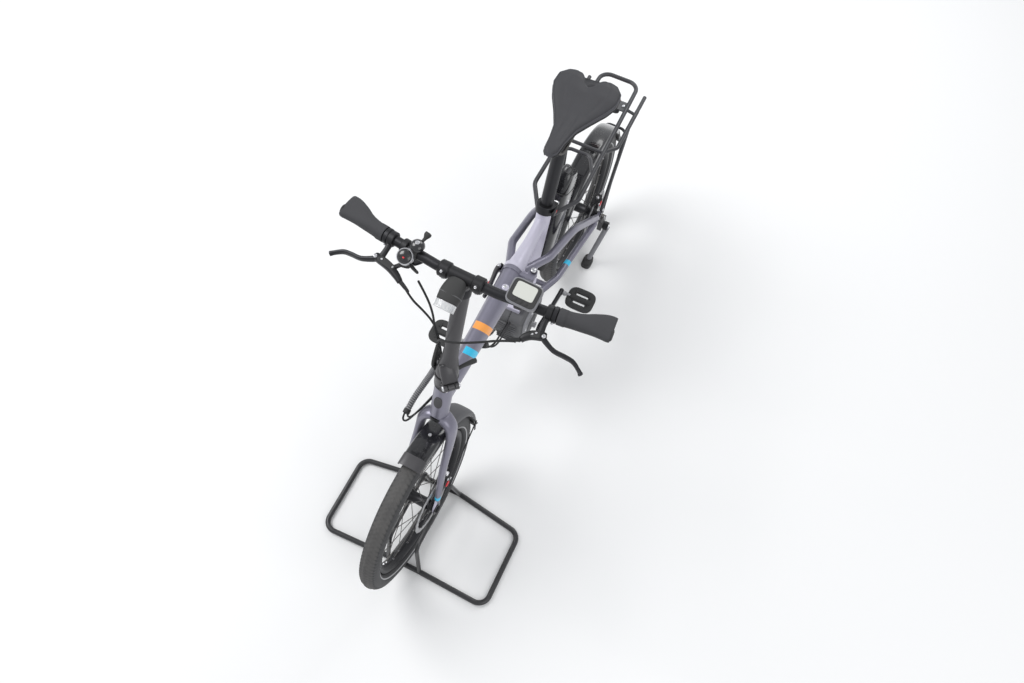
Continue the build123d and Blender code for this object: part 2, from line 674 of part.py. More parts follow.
def chain_loop(wheels, half_thick, width):
    """Closed band laid round wheels given as (x, z, radius, turn), turn 1 or -1 as it winds."""
    runs = []
    for here, there in zip(wheels, wheels[1:] + wheels[:1]):
        dx, dz = there[0] - here[0], there[1] - here[1]
        lean = math.asin((there[2] * there[3] - here[2] * here[3]) / math.hypot(dx, dz))
        way = math.atan2(dz, dx) - lean
        normal = (-math.sin(way), math.cos(way))
        leave = (here[0] - here[3] * here[2] * normal[0], here[1] - here[3] * here[2] * normal[1])
        reach = (there[0] - there[3] * there[2] * normal[0], there[1] - there[3] * there[2] * normal[1])
        runs.append((leave, reach, way))
    edges = []
    for index, wheel in enumerate(wheels):
        _, reach, way = runs[index - 1]
        leave, after, _ = runs[index]
        tangent = (math.cos(way), 0, math.sin(way))
        edges.append(TangentArc((reach[0], 0, reach[1]), (leave[0], 0, leave[1]), tangent=tangent))
        edges.append(Line((leave[0], 0, leave[1]), (after[0], 0, after[1])))
    centre_line = make_face(Wire(edges))
    outer = offset(centre_line, amount=half_thick)
    inner = offset(centre_line, amount=-half_thick)
    return extrude(outer - inner, amount=width / 2, dir=(0, 1, 0), both=True)


chain_half = 3.2
pulley_radius = 19
pulley_places = ((rear_x + 4, 192), (rear_x + 28, 132))
chain_wheels = [(crank_x, crank_z, chainring_radius + chain_half + 0.6, 1),
                (rear_x, axle_z, cog_radii[4] + chain_half + 0.4, 1),
                (*pulley_places[0], pulley_radius + chain_half + 0.4, -1),
                (*pulley_places[1], pulley_radius + chain_half + 0.4, 1)]
save("chain", Pos(0, chain_y, 0) * chain_loop(chain_wheels, chain_half, 5.6))

derailleur = Pos(rear_x + 2, -66, 214) * Box(26, 12, 44)
for px, pz in pulley_places:
    derailleur += disc(pulley_radius, 3, px, chain_y, pz) + disc(5, 24, px, chain_y - 8, pz)
derailleur += rounded_bar((pulley_places[0][0], chain_y - 9, pulley_places[0][1] + 8),
                          (pulley_places[1][0], chain_y - 9, pulley_places[1][1] - 8), 3, 22, 1)
save("derailleur", derailleur)

for name, spot, side in (("pedal_left", rear_pedal, 1), ("pedal_right", front_pedal, -1)):
    px, pz = spot
    shaft = disc(6, 56, px, side * 100, pz) + disc(9, 6, px, side * 90, pz)
    cage = Pos(px, side * pedal_y, pz) * Box(66, 76, 20)
    cage = fillet(cage.edges().filter_by(Axis.Z), pedal_corner)
    for along, width, place in ((18, 24, -20), (18, 24, 20)):
        cage -= Pos(px + place, side * (pedal_y - 6), pz) * Box(along, 2 * width, 30)
    save(name, cage + shaft)

# ---------------------------------------------------------------- seatpost and saddle
seatpost_low = 534
seatpost_top = 856
seatpost_length = (seatpost_top - seatpost_low) / sin_seat
seatpost = seat_plane(seatpost_low) * Pos(0, 0, seatpost_length / 2) * Cylinder(seatpost_radius, seatpost_length)
head_clamp_x = seat_line_x(seatpost_top)
seatpost += Pos(head_clamp_x - 4, 0, seatpost_top + 4) * Box(46, 40, 18)
for side in (-1, 1):
    seatpost -= rod((head_clamp_x - 60, side * 21, seatpost_top + 6), (head_clamp_x + 60, side * 21, seatpost_top + 6), 3.6)
save("seatpost", seatpost)

rails = []
for side in (-1, 1):
    rails.append(pipe([(-955, side * 36, 884), (-915, side * 21, seatpost_top + 6), (-746, side * 21, seatpost_top + 6),
                       (-722, side * 8, 884)], 3.5, 25))
saddle_rails = Compound(children=rails)
save("saddle_rails", saddle_rails)

saddle_sections = [(-702, 14, 18), (-740, 19, 20), (-800, 30, 22), (-860, 60, 24), (-910, 84, 26), (-950, 84, 26),
                   (-968, 66, 20)]
saddle = loft([Plane(origin=(x, 0, saddle_z - high / 2), x_dir=(0, 1, 0), z_dir=(-1, 0, 0)) * RectangleRounded(
    2 * half, high, high * 0.4) for x, half, high in saddle_sections], ruled=False)
save("saddle", saddle - rails[0] - rails[1])

# ---------------------------------------------------------------- kickstand
kick_x = rear_x - 10
kick_pivot_z = 206
kick_block = Pos(kick_x, 81.5, 214) * Box(36, 14, 40) + disc(12, 2, kick_x, 89.5, kick_pivot_z)
foot = (-1048, 70, 14)
kick_leg = rod((kick_x, 103, kick_pivot_z), foot, 9) + disc(14, 15, kick_x, 98.5, kick_pivot_z)
kick_leg += Pos(foot[0], foot[1], 8) * Box(52, 34, 16)
save("kickstand", kick_leg)
save("kickstand_mount", kick_block)

# ---------------------------------------------------------------- hoses
hose_radius = 2.5
bundle_radius = 8
right_hose = [(-202, -104, 970), (-196, -86, 938), (-207, -66, 888), (-219, -50, 830), (-223, -42, 775),
              (-226, -40, 718), (-221, -39, 663)]
shift_cable = [(-229, -84, 958), (-227, -66, 915), (-221, -50, 868), (-212, -42, 815), (-213, -37, 765),
               (-218, -41, 714), (-214, -41, 663)]
left_hose = [(-187.5, 153.5, 969.5), (-186, 124, 950), (-177, 78, 916), (-172, 30, 880), (-182, -12, 838),
             (-201, -32, 790), (-214, -30, 728), (-216, -33, 663)]
bar_hoses = [hose(label, points, hose_radius) for label, points in (
    ("right brake hose", right_hose), ("shift cable", shift_cable), ("left brake hose", left_hose))]
save("bar_hoses", Compound(children=bar_hoses))

wrapped = hose("wrapped bundle", [(-217, -37.5, 661), (-213, -52, 602), (-190, -70, 546), (-152, -84, 510),
                                  (-120, -84, 502)], bundle_radius)
first_return = hose("first return", [(-119.5, -87, 500), (-100, -86, 502), (-91, -70, 517), (-107, -54, 541),
                                     (-136, -38, 564), (-163, -22.5, 592)], hose_radius)
second_return = hose("second return", [(-119.5, -80, 505), (-109, -76, 509), (-104, -64, 522), (-118, -52, 536),
                                       (-146, -38, 552), (-172, -24, 572)], hose_radius)
save("hose_bundle", Compound(children=[wrapped, first_return, second_return]))

motor_cable = hose("motor cable", [(-338, 21, 580), (-350, 32, 548), (-388, 34, 505), (-438, 26, 458),
                                   (-492, 16, 408), (-526, 10, 374)], hose_radius)
sensor_cable = hose("sensor cable", [(-330, 12, 570), (-352, 22, 533), (-396, 25, 490), (-446, 16, 446),
                                     (-498, 8, 396), (-526, 2, 366)], hose_radius)
save("frame_hoses", Compound(children=[motor_cable, sensor_cable]))
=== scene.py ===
"""Folding electric bicycle standing in a floor stand: its surfaces, finishes, light and camera."""

import json
import logging
import math
from collections.abc import Callable
from dataclasses import dataclass, field
from enum import Enum

import bpy
import numpy as np
from mathutils import Matrix, Vector


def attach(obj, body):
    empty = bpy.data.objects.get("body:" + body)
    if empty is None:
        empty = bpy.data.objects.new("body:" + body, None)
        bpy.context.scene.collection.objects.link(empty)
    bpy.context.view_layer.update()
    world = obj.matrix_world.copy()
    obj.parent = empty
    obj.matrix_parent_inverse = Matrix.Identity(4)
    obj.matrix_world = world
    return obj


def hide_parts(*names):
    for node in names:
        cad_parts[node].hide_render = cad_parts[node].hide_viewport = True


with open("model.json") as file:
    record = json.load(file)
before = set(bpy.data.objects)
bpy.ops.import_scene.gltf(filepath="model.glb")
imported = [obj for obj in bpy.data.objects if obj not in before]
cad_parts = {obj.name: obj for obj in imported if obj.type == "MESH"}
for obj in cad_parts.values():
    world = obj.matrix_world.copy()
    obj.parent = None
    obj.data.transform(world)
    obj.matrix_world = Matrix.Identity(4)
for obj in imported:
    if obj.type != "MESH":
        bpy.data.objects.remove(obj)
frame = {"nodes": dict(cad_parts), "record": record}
log = logging.getLogger("folding_bicycle")

WHEEL_RADIUS = 257.0
WHEELBASE = 1062.0
RAKE = 35.0
HEAD_ANGLE = math.radians(71.5)
HEAD_LOW = 556.0
PARKED_STEER = math.radians(-2.5)
HEAD_UP = np.array((-math.cos(HEAD_ANGLE), 0.0, math.sin(HEAD_ANGLE)))
HEAD_FORWARD = np.array((math.sin(HEAD_ANGLE), 0.0, math.cos(HEAD_ANGLE)))
LEFTWARD = np.array((0.0, 1.0, 0.0))
UPWARD = np.array((0.0, 0.0, 1.0))
FORWARD = np.array((1.0, 0.0, 0.0))


class Side(Enum):
    """A side of the bicycle, as the rider sees it."""

    LEFT = 1
    RIGHT = -1

    @property
    def word(self) -> str:
        """The side's name in small letters, as the CAD nodes use it."""
        return self.name.lower()


class Ends(Enum):
    """How the ends of a lofted body are closed."""

    FLAT = "flat"
    ROUND = "round"


# ------------------------------------------------------------------ places
def joint_place(name: str) -> np.ndarray:
    """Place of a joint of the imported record, in millimetres.

    Args:
        name: the joint's name.
    Returns:
        The joint's point as three numbers.
    """
    joints = frame["record"]["behaviour"]["joints"]
    return np.array(next(j["pos_m"] for j in joints if j["name"] == name)) * 1000.0


ORIGIN = joint_place("rear_wheel_spin") - np.array((-WHEELBASE, 0.0, WHEEL_RADIUS))


def metres(points: np.ndarray) -> np.ndarray:
    """Millimetres from the floor under the front axle, as metres in the row's frame."""
    return (np.asarray(points, float) + ORIGIN) / 1000.0


def unit(vector: np.ndarray) -> np.ndarray:
    """Vectors scaled to length one, along the last axis."""
    vector = np.asarray(vector, float)
    return vector / np.linalg.norm(vector, axis=-1, keepdims=True)


def head_x(z: float) -> float:
    """X of the steering axis at height z, a straight line leaning back."""
    return -RAKE / math.sin(HEAD_ANGLE) - (z - WHEEL_RADIUS) / math.tan(HEAD_ANGLE)


def spun(points: np.ndarray, origin: np.ndarray, axis: np.ndarray, angle: float) -> np.ndarray:
    """Points turned about an axis by the usual turning formula.

    Args:
        points: array whose last axis is x, y, z.
        origin: a point of the axis.
        axis: the axis's unit direction.
        angle: the turn in radians.
    Returns:
        The turned points, in the same layout.
    """
    arm = np.asarray(points, float) - origin
    along = (arm @ axis)[..., None] * axis
    return origin + arm * math.cos(angle) + np.cross(axis,
                                                     arm) * math.sin(angle) + along * (1 - math.cos(angle))


def steered(points: np.ndarray) -> np.ndarray:
    """Points turned with the fork into the place that the bicycle is parked in."""
    return spun(points, np.array((head_x(HEAD_LOW), 0.0, HEAD_LOW)), HEAD_UP, PARKED_STEER)


def head_point(z: float, forward: float = 0.0, left: float = 0.0, up: float = 0.0) -> np.ndarray:
    """Point beside the steering axis: at height z, then along forward, left and up of the head tube."""
    return np.array((head_x(z), 0.0, z)) + forward * HEAD_FORWARD + left * LEFTWARD + up * HEAD_UP


# ------------------------------------------------------------------ surfaces
@dataclass
class Surface:
    """Points in millimetres, quads and n-gon caps between them, and one UV pair for each point."""

    points: np.ndarray
    quads: np.ndarray
    caps: list[np.ndarray] = field(default_factory=list)
    uv: np.ndarray | None = None

    def volume(self) -> float:
        """Signed volume: a sixth of the triple product over every triangle of the faces.

        Returns:
            The volume in cubic millimetres, negative where the faces point inwards.
        """
        p = self.points - self.points.mean(0)
        a, b, c, d = (p[self.quads[:, i]] for i in range(4))
        total = (np.einsum("ij,ij->i", a, np.cross(b, c)) + np.einsum("ij,ij->i", a, np.cross(c, d))).sum()
        for cap in self.caps:
            fan = p[cap]
            total += np.einsum("ij,ij->i", np.broadcast_to(fan[0], fan[1:-1].shape),
                               np.cross(fan[1:-1], fan[2:])).sum()
        return float(total) / 6.0

    def outward(self) -> "Surface":
        """The same closed surface with its faces pointing outwards."""
        if self.volume() < 0:
            self.quads = self.quads[:, ::-1]
            self.caps = [cap[::-1] for cap in self.caps]
        return self


def grid(points: np.ndarray, wrap_u: bool = False, wrap_v: bool = False, closed: bool = False) -> Surface:
    """Sheet of quads over an array of rows and columns.

    Args:
        points: array of rows, columns and x, y, z.
        wrap_u: whether the last row joins the first.
        wrap_v: whether the last column joins the first.
        closed: whether the first and last rows are capped.
    Returns:
        The sheet, turned outwards where it is closed.
    """
    rows, columns = points.shape[:2]
    index = np.arange(rows * columns).reshape(rows, columns)
    below = np.concatenate((index, index[:1]), 0) if wrap_u else index
    table = np.concatenate((below, below[:, :1]), 1) if wrap_v else below
    quads = np.stack((table[:-1, :-1], table[1:, :-1], table[1:, 1:], table[:-1, 1:]), -1).reshape(-1, 4)
    caps = [index[0], index[-1][::-1]] if closed else []
    v, u = np.meshgrid(np.linspace(0, 1, columns), np.linspace(0, 1, rows))
    surface = Surface(points.reshape(-1, 3), quads, caps, np.stack((u, v), -1).reshape(-1, 2))
    return surface.outward() if closed or (wrap_u and wrap_v) else surface


def smooth_keys(keys: np.ndarray, count: int) -> np.ndarray:
    """Rows of numbers joined by a Catmull-Rom curve through every row.

    Args:
        keys: array of key rows.
        count: how many rows to return.
    Returns:
        The rows in between, evenly spaced in the key's number.
    """
    keys = np.asarray(keys, float)
    padded = np.concatenate((2 * keys[:1] - keys[1:2], keys, 2 * keys[-1:] - keys[-2:-1]))
    place = np.linspace(0, len(keys) - 1, count)
    cell = np.minimum(place.astype(int), len(keys) - 2)
    t = (place - cell)[:, None]
    a, b, c, d = (padded[cell + i] for i in range(4))
    return 0.5 * (2 * b + (c - a) * t + (2 * a - 5 * b + 4 * c - d) * t**2 + (3 * b - a - 3 * c + d) * t**3)


def ring_angles(sides: int) -> np.ndarray:
    """Evenly spaced angles round a full turn."""
    return np.arange(sides) * (2 * math.pi / sides)


def oval(sides: int, power: np.ndarray) -> np.ndarray:
    """Superellipse sections: cosine and sine raised to two over the power, keeping their signs.

    Args:
        sides: points in each section.
        power: one power for each section; 2 is an ellipse and more is squarer.
    Returns:
        Array of sections, points and two coordinates within plus and minus one.
    """
    turn = ring_angles(sides)
    wave = np.stack((np.cos(turn), np.sin(turn)), -1)[None]
    shape = 2.0 / np.asarray(power, float).reshape(-1, 1, 1)
    return np.sign(wave) * np.abs(wave) ** shape


def carried(path: np.ndarray, sections: np.ndarray, side: np.ndarray, wrap: bool = False) -> np.ndarray:
    """Flat sections carried along a path: side times the first coordinate plus top times the second.

    Args:
        path: points along the way.
        sections: for each point, its section's two coordinates in millimetres.
        side: a direction, or one for each point, that the first coordinate follows.
        wrap: whether the path joins its own start.
    Returns:
        Array of stations, section points and x, y, z.
    """
    ahead = np.roll(path, -1, 0) - np.roll(path, 1, 0) if wrap else np.gradient(path, axis=0)
    along = unit(ahead)
    across = np.broadcast_to(side, along.shape)
    across = unit(across - (across * along).sum(-1, keepdims=True) * along)
    top = np.cross(along, across)
    return path[:, None] + sections[..., :1] * across[:, None] + sections[..., 1:] * top[:, None]


def end_stations(path: np.ndarray, half: np.ndarray, ends: Ends) -> tuple[np.ndarray, np.ndarray, np.ndarray]:
    """Extra stations that round a body's two ends as quarter ellipses.

    Args:
        path: the body's stations.
        half: the half sizes at each station, two columns.
        ends: how the ends are closed.
    Returns:
        The longer path, the half sizes, and how much each station is scaled.
    """
    if ends is not Ends.ROUND:
        return path, half, np.ones(len(path))
    turn = np.radians((12.0, 35.0, 60.0, 80.0))
    reach = half.min(1)
    start, finish = unit(path[0] - path[1]), unit(path[-1] - path[-2])
    head = path[0] + start * reach[0] * (np.sin(turn)[::-1, None] - 1.0)
    tail = path[-1] + finish * reach[-1] * (np.sin(turn)[:, None] - 1.0)
    inner_path = path.copy()
    inner_path[0] = path[0] - start * reach[0]
    inner_path[-1] = path[-1] - finish * reach[-1]
    stations = np.concatenate((head, inner_path, tail))
    sizes = np.concatenate((np.repeat(half[:1], 4, 0), half, np.repeat(half[-1:], 4, 0)))
    scale = np.concatenate((np.cos(turn)[::-1], np.ones(len(path)), np.cos(turn)))
    return stations, sizes, scale


def loft(keys: list[tuple], side: np.ndarray, count: int = 24, sides: int = 24,
         ends: Ends = Ends.ROUND) -> Surface:
    """Body whose superellipse sections change smoothly along a smooth path.

    Args:
        keys: rows of x, y, z, half size along side, half size across it, and power.
        side: direction of the first half size.
        count: stations along the body.
        sides: points in each section.
        ends: how the ends are closed.
    Returns:
        The closed surface.
    """
    rows = smooth_keys(np.array(keys, float), count)
    path, half, scale = end_stations(rows[:, :3], rows[:, 3:5], ends)
    power = np.interp(np.linspace(0, 1, len(path)), np.linspace(0, 1, len(rows)), rows[:, 5])
    sections = oval(sides, power) * (half * scale[:, None])[:, None]
    return grid(carried(path, sections, side), wrap_v=True, closed=True)


def tube(path: np.ndarray, radius: float | np.ndarray, side: np.ndarray, sides: int = 16,
         wrap: bool = False) -> Surface:
    """Round tube of the given radius along a path, closed at both ends or joined into a ring.

    Args:
        path: centre points, one row each.
        radius: one radius, or one for each centre point.
        side: a direction that the sections' first coordinate follows.
        sides: points round a section.
        wrap: whether the path is a ring.
    Returns:
        The closed tube.
    """
    size = np.broadcast_to(np.asarray(radius, float), (len(path),))
    sections = oval(sides, np.full(len(path), 2.0)) * size[:, None, None]
    return grid(carried(path, sections, side, wrap), wrap_u=wrap, wrap_v=True, closed=not wrap)


def basis(axis: np.ndarray) -> tuple[np.ndarray, np.ndarray, np.ndarray]:
    """The unit axis and two unit directions square to it.

    Args:
        axis: any direction.
    Returns:
        Three unit directions, the axis first.
    """
    axis = unit(axis)
    guess = UPWARD if abs(axis[2]) < 0.8 else FORWARD
    first = unit(np.cross(guess, axis))
    return axis, first, np.cross(axis, first)


def lathe(profile: list[tuple], origin: np.ndarray, axis: np.ndarray, segments: int = 48,
          closed_ring: bool = False) -> Surface:
    """Profile of (distance along the axis, radius) turned about that axis.

    Args:
        profile: the points of the outline.
        origin: where the distance is zero.
        axis: the direction of the axis.
        segments: steps round the turn.
        closed_ring: whether the outline joins itself, as on a flat ring; otherwise its ends are capped.
    Returns:
        The closed surface.
    """
    along, first, second = basis(axis)
    outline = np.array(profile, float)
    turn = ring_angles(segments)
    spokes = np.cos(turn)[:, None] * first + np.sin(turn)[:, None] * second
    points = np.asarray(origin, float) + outline[:, None, :1] * along + outline[:, None, 1:] * spokes[None]
    return grid(points, wrap_u=closed_ring, wrap_v=True, closed=not closed_ring)


def slab(outline: np.ndarray, low: float, high: float, origin: np.ndarray, x_dir: np.ndarray,
         y_dir: np.ndarray, corner: float = 0.0) -> Surface:
    """Flat plate from an outline, its rim eased by pulling the outer rows towards the middle.

    Args:
        outline: the corners in the plate's own two directions.
        low: lowest distance along the plate's normal.
        high: highest distance along the plate's normal.
        origin: the place of the outline's zero.
        x_dir: the outline's first direction.
        y_dir: the outline's second direction.
        corner: how far the rim is eased.
    Returns:
        The closed surface.
    """
    outline = np.asarray(outline, float)
    normal = np.cross(unit(x_dir), unit(y_dir))
    ahead, behind = np.roll(outline, -1, 0) - outline, outline - np.roll(outline, 1, 0)
    inward = unit(unit(ahead) + unit(behind))[:, ::-1] * (-1.0, 1.0)
    area = (outline[:, 0] * np.roll(outline[:, 1], -1) - outline[:, 1] * np.roll(outline[:, 0], -1)).sum()
    tight = outline + inward * corner * math.copysign(1.0, area)
    rows = ((tight, low), (outline, low + corner), (outline, high - corner), (tight, high)) if corner else (
        (outline, low), (outline, high))
    stack = np.stack([np.asarray(origin) + r[:, :1] * unit(x_dir) + r[:, 1:] * unit(y_dir) + h * normal
                      for r, h in rows])
    return grid(stack, wrap_v=True, closed=True)


def rods(starts: np.ndarray, finishes: np.ndarray, radius: float, sides: int = 6) -> Surface:
    """Many straight round bars at once, each with a ring of points at its two ends.

    Args:
        starts: one end of each bar.
        finishes: the other end of each bar.
        radius: radius of every bar.
        sides: points round a bar.
    Returns:
        All the bars as one surface.
    """
    along = unit(finishes - starts)
    guess = np.where(np.abs(along[:, 2:]) < 0.8, UPWARD, FORWARD)
    first = unit(np.cross(guess, along))
    second = np.cross(along, first)
    turn = ring_angles(sides)
    ring = np.cos(turn)[:, None] * first[:, None] + np.sin(turn)[:, None] * second[:, None]
    points = np.stack((starts[:, None] + radius * ring, finishes[:, None] + radius * ring), 1)
    bar = np.arange(len(starts))[:, None] * 2 * sides
    here = np.arange(sides)
    after = (here + 1) % sides
    quads = np.stack((bar + here, bar + after, bar + sides + after, bar + sides + here), -1).reshape(-1, 4)
    caps = [row for row in bar + here[::-1]] + [row for row in bar + sides + here]
    uv = np.zeros((points.size // 3, 2))
    return Surface(points.reshape(-1, 3), quads, caps, uv).outward()


def rounded_outline(half_x: float, half_y: float, power: float, sides: int = 32) -> np.ndarray:
    """Superellipse outline in the plane with the given half sizes."""
    return oval(sides, np.array([power]))[0] * (half_x, half_y)


def keyed(place: Callable, rows: list[tuple]) -> list[tuple]:
    """Key rows for a loft whose first three numbers go through a placing function.

    Args:
        place: turns three numbers into a point.
        rows: three numbers for the place, then two half sizes and a power.
    Returns:
        The rows with their points.
    """
    return [(*place(*row[:3]), *row[3:]) for row in rows]


def beside(origin: np.ndarray) -> Callable:
    """Placing function that adds x, y and z to an origin."""
    return lambda x, y, z: origin + (x, y, z)


def bolt(place: np.ndarray, axis: np.ndarray, radius: float, height: float) -> Surface:
    """Round bolt head with a rounded rim and a sunk socket, standing on place along axis.

    Args:
        place: where the head stands.
        axis: the way it points.
        radius: radius of the head.
        height: height of the head.
    Returns:
        The closed head.
    """
    r, h = radius, height
    profile = [(-0.2, r), (0.55 * h, r), (0.85 * h, 0.9 * r), (h, 0.72 * r), (h, 0.5 * r),
               (0.45 * h, 0.46 * r)]
    return lathe(profile, place, axis, 18)


def around(x: float, radius: float | np.ndarray, angle: float | np.ndarray, y: float | np.ndarray = 0.0,
           z: float = WHEEL_RADIUS) -> np.ndarray:
    """Points at angles, in degrees from forward, on a circle round a crosswise axle.

    Args:
        x: the axle's place along the bicycle.
        radius: distance from the axle.
        angle: degrees from forward, upwards positive.
        y: place across the bicycle.
        z: height of the axle.
    Returns:
        One point for each angle.
    """
    turn = np.radians(np.asarray(angle, float))
    x_out, z_out = x + radius * np.cos(turn), z + radius * np.sin(turn)
    return np.stack(np.broadcast_arrays(x_out, np.asarray(y, float), z_out), -1)


# ------------------------------------------------------------------ shader networks
class Value:
    """One number on a shader socket; its operators add Math nodes."""

    def __init__(self, web: "Web", socket: bpy.types.NodeSocket) -> None:
        """Remember the network and the socket."""
        self.web = web
        self.socket = socket

    def __add__(self, other: "Value | float") -> "Value":
        """Sum."""
        return self.web.maths("ADD", self, other)

    __radd__ = __add__

    def __sub__(self, other: "Value | float") -> "Value":
        """Difference."""
        return self.web.maths("SUBTRACT", self, other)

    def __rsub__(self, other: float) -> "Value":
        """Difference from a number."""
        return self.web.maths("SUBTRACT", other, self)

    def __mul__(self, other: "Value | float") -> "Value":
        """Product."""
        return self.web.maths("MULTIPLY", self, other)

    __rmul__ = __mul__

    def __truediv__(self, other: "Value | float") -> "Value":
        """Quotient."""
        return self.web.maths("DIVIDE", self, other)

    def sine(self) -> "Value":
        """Sine of the number in radians."""
        return self.web.maths("SINE", self)

    def above(self, edge: float, softness: float) -> "Value":
        """Mask that goes from 0 to 1 as the number passes the edge over twice the softness."""
        return self.web.maths("ADD", (self - edge) / (2 * softness), 0.5, clamp=True)

    def within(self, low: float, high: float, softness: float) -> "Value":
        """Mask that is 1 between two edges."""
        return self.above(low, softness) * (1 - self.above(high, softness))


class Web:
    """A material's node network, built through one method for every kind of node."""

    def __init__(self, material: bpy.types.Material) -> None:
        """Start from an empty network with an output.

        Args:
            material: the material whose network is filled.
        """
        material.use_nodes = True
        self.tree = material.node_tree
        self.tree.nodes.clear()
        self.output = self.tree.nodes.new("ShaderNodeOutputMaterial")
        self.place = self.node("ShaderNodeTexCoord").outputs["Object"]

    def node(self, kind: str, settings: dict | None = None, inputs: dict | None = None) -> bpy.types.Node:
        """Add one node.

        Args:
            kind: the node's type name.
            settings: its own properties, such as a Math node's operation.
            inputs: socket names or numbers, with a value, a socket or a Value for each.
        Returns:
            The node.
        """
        node = self.tree.nodes.new(kind)
        for key, value in (settings or {}).items():
            setattr(node, key, value)
        for key, value in (inputs or {}).items():
            self.feed(node.inputs[key], value)
        return node

    def feed(self, socket: bpy.types.NodeSocket,
             value: "Value | bpy.types.NodeSocket | float | tuple") -> None:
        """Link or set one input socket.

        Args:
            socket: the input.
            value: a number, a colour or the output that it reads.
        """
        if isinstance(value, Value):
            value = value.socket
        if isinstance(value, bpy.types.NodeSocket):
            self.tree.links.new(value, socket)
        elif socket.type == "RGBA" and len(value) == 3:
            socket.default_value = (*value, 1.0)
        else:
            socket.default_value = value

    def maths(self, operation: str, *values: "Value | float", clamp: bool = False) -> Value:
        """One Math node on one or two values."""
        node = self.node("ShaderNodeMath", {"operation": operation, "use_clamp": clamp},
                         dict(enumerate(values)))
        return Value(self, node.outputs[0])

    def axis(self, direction: tuple[float, float, float]) -> Value:
        """Distance of the surface point along a direction, in metres."""
        node = self.node("ShaderNodeVectorMath", {"operation": "DOT_PRODUCT"}, {0: self.place, 1: direction})
        return Value(self, node.outputs["Value"])

    def reach(self, centre: tuple[float, float, float], weights: tuple[float, float, float]) -> Value:
        """Distance of the surface point from a centre, each axis counted by its weight.

        Args:
            centre: the point measured from, in metres.
            weights: what each axis counts.
        Returns:
            The distance in metres.
        """
        offset = self.node("ShaderNodeVectorMath", {"operation": "SUBTRACT"}, {0: self.place, 1: centre})
        scaled = self.node("ShaderNodeVectorMath", {"operation": "MULTIPLY"},
                           {0: offset.outputs[0], 1: weights})
        length = self.node("ShaderNodeVectorMath", {"operation": "LENGTH"}, {0: scaled.outputs[0]})
        return Value(self, length.outputs["Value"])

    def stretched(self, scale: tuple[float, float, float]) -> bpy.types.NodeSocket:
        """The surface point with each axis scaled."""
        node = self.node("ShaderNodeVectorMath", {"operation": "MULTIPLY"}, {0: self.place, 1: scale})
        return node.outputs[0]

    def noise(self, scale: float, detail: float = 3.0, place: bpy.types.NodeSocket | None = None) -> Value:
        """Soft noise from 0 to 1 at a scale per metre."""
        inputs = {"Vector": place or self.place, "Scale": scale, "Detail": detail, "Roughness": 0.55}
        return Value(self, self.node("ShaderNodeTexNoise", None, inputs).outputs[0])

    def cells(self, scale: float, feature: str = "F1") -> Value:
        """Distance within a pattern of cells at a scale per metre."""
        node = self.node("ShaderNodeTexVoronoi", {"feature": feature}, {"Vector": self.place, "Scale": scale})
        return Value(self, node.outputs["Distance"])

    def chart(self) -> tuple[Value, Value]:
        """The piece's own two surface coordinates."""
        node = self.node("ShaderNodeSeparateXYZ", None, {0: self.node("ShaderNodeTexCoord").outputs["UV"]})
        return Value(self, node.outputs[0]), Value(self, node.outputs[1])

    def blend(self, factor: Value, first: "tuple | bpy.types.NodeSocket",
              second: "tuple | bpy.types.NodeSocket") -> bpy.types.NodeSocket:
        """Colour between two colours."""
        node = self.node("ShaderNodeMix", {"data_type": "RGBA"}, {0: factor, 6: first, 7: second})
        return node.outputs[2]

    def bump(self, height: Value, strength: float, depth: float) -> bpy.types.NodeSocket:
        """Normal of a surface raised by a height, its depth in metres."""
        node = self.node("ShaderNodeBump", None, {"Strength": strength, "Distance": depth, "Height": height})
        return node.outputs[0]

    def surface(self, inputs: dict) -> None:
        """Finish with one Principled shader."""
        shader = self.node("ShaderNodeBsdfPrincipled", None, inputs)
        self.tree.links.new(shader.outputs[0], self.output.inputs[0])


Colour = tuple[float, float, float]


def lighter(colour: Colour, factor: float) -> Colour:
    """The colour times a factor."""
    return tuple(min(1.0, channel * factor) for channel in colour)


@dataclass(frozen=True)
class Finish:
    """A named finish that makes its material once."""

    name: str

    def material(self) -> bpy.types.Material:
        """The material, made at its first use.

        Returns:
            The material, the same one at every use.
        """
        known = bpy.data.materials.get(self.name)
        if known is not None:
            return known
        material = bpy.data.materials.new(self.name)
        self.dress(Web(material))
        return material

    def dress(self, web: Web) -> None:
        """Fill the material's network."""
        raise NotImplementedError(self.name)


@dataclass(frozen=True)
class Band:
    """Painted colour band: between two distances along a direction, on one side of a second one."""

    direction: Colour
    low: float
    high: float
    colour: Colour
    side: Colour = (0.0, 1.0, 0.0)
    edge: float = -10.0


@dataclass(frozen=True)
class Paint(Finish):
    """Satin metallic paint with fine flake, a faint ripple and colour bands."""

    colour: Colour
    roughness: float = 0.34
    metallic: float = 0.55
    bands: tuple[Band, ...] = ()

    def dress(self, web: Web) -> None:
        """Flake speckles the colour and the gloss; a soft ripple and rubbed patches change the roughness.

        Args:
            web: the network to fill.
        """
        flake = web.noise(2600, 1.0)
        cloud = web.noise(14, 3.0)
        colour = web.blend(flake * 0.5 + cloud * 0.5, lighter(self.colour, 0.82), lighter(self.colour, 1.2))
        metal = self.metallic
        for band in self.bands:
            mask = web.axis(band.direction).within(band.low, band.high, 0.0004)
            mask = mask * web.axis(band.side).above(band.edge, 0.0004)
            colour = web.blend(mask, colour, band.colour)
            metal = metal * (1 - mask)
        rubbed = web.noise(38, 4.0).above(0.62, 0.1)
        rough = self.roughness + 0.06 * cloud + 0.08 * rubbed
        normal = web.bump(web.noise(420, 1.0), 0.12, 0.0003)
        web.surface({"Base Color": colour, "Roughness": rough, "Metallic": metal, "Normal": normal,
                     "Coat Weight": 0.25, "Coat Roughness": 0.18})


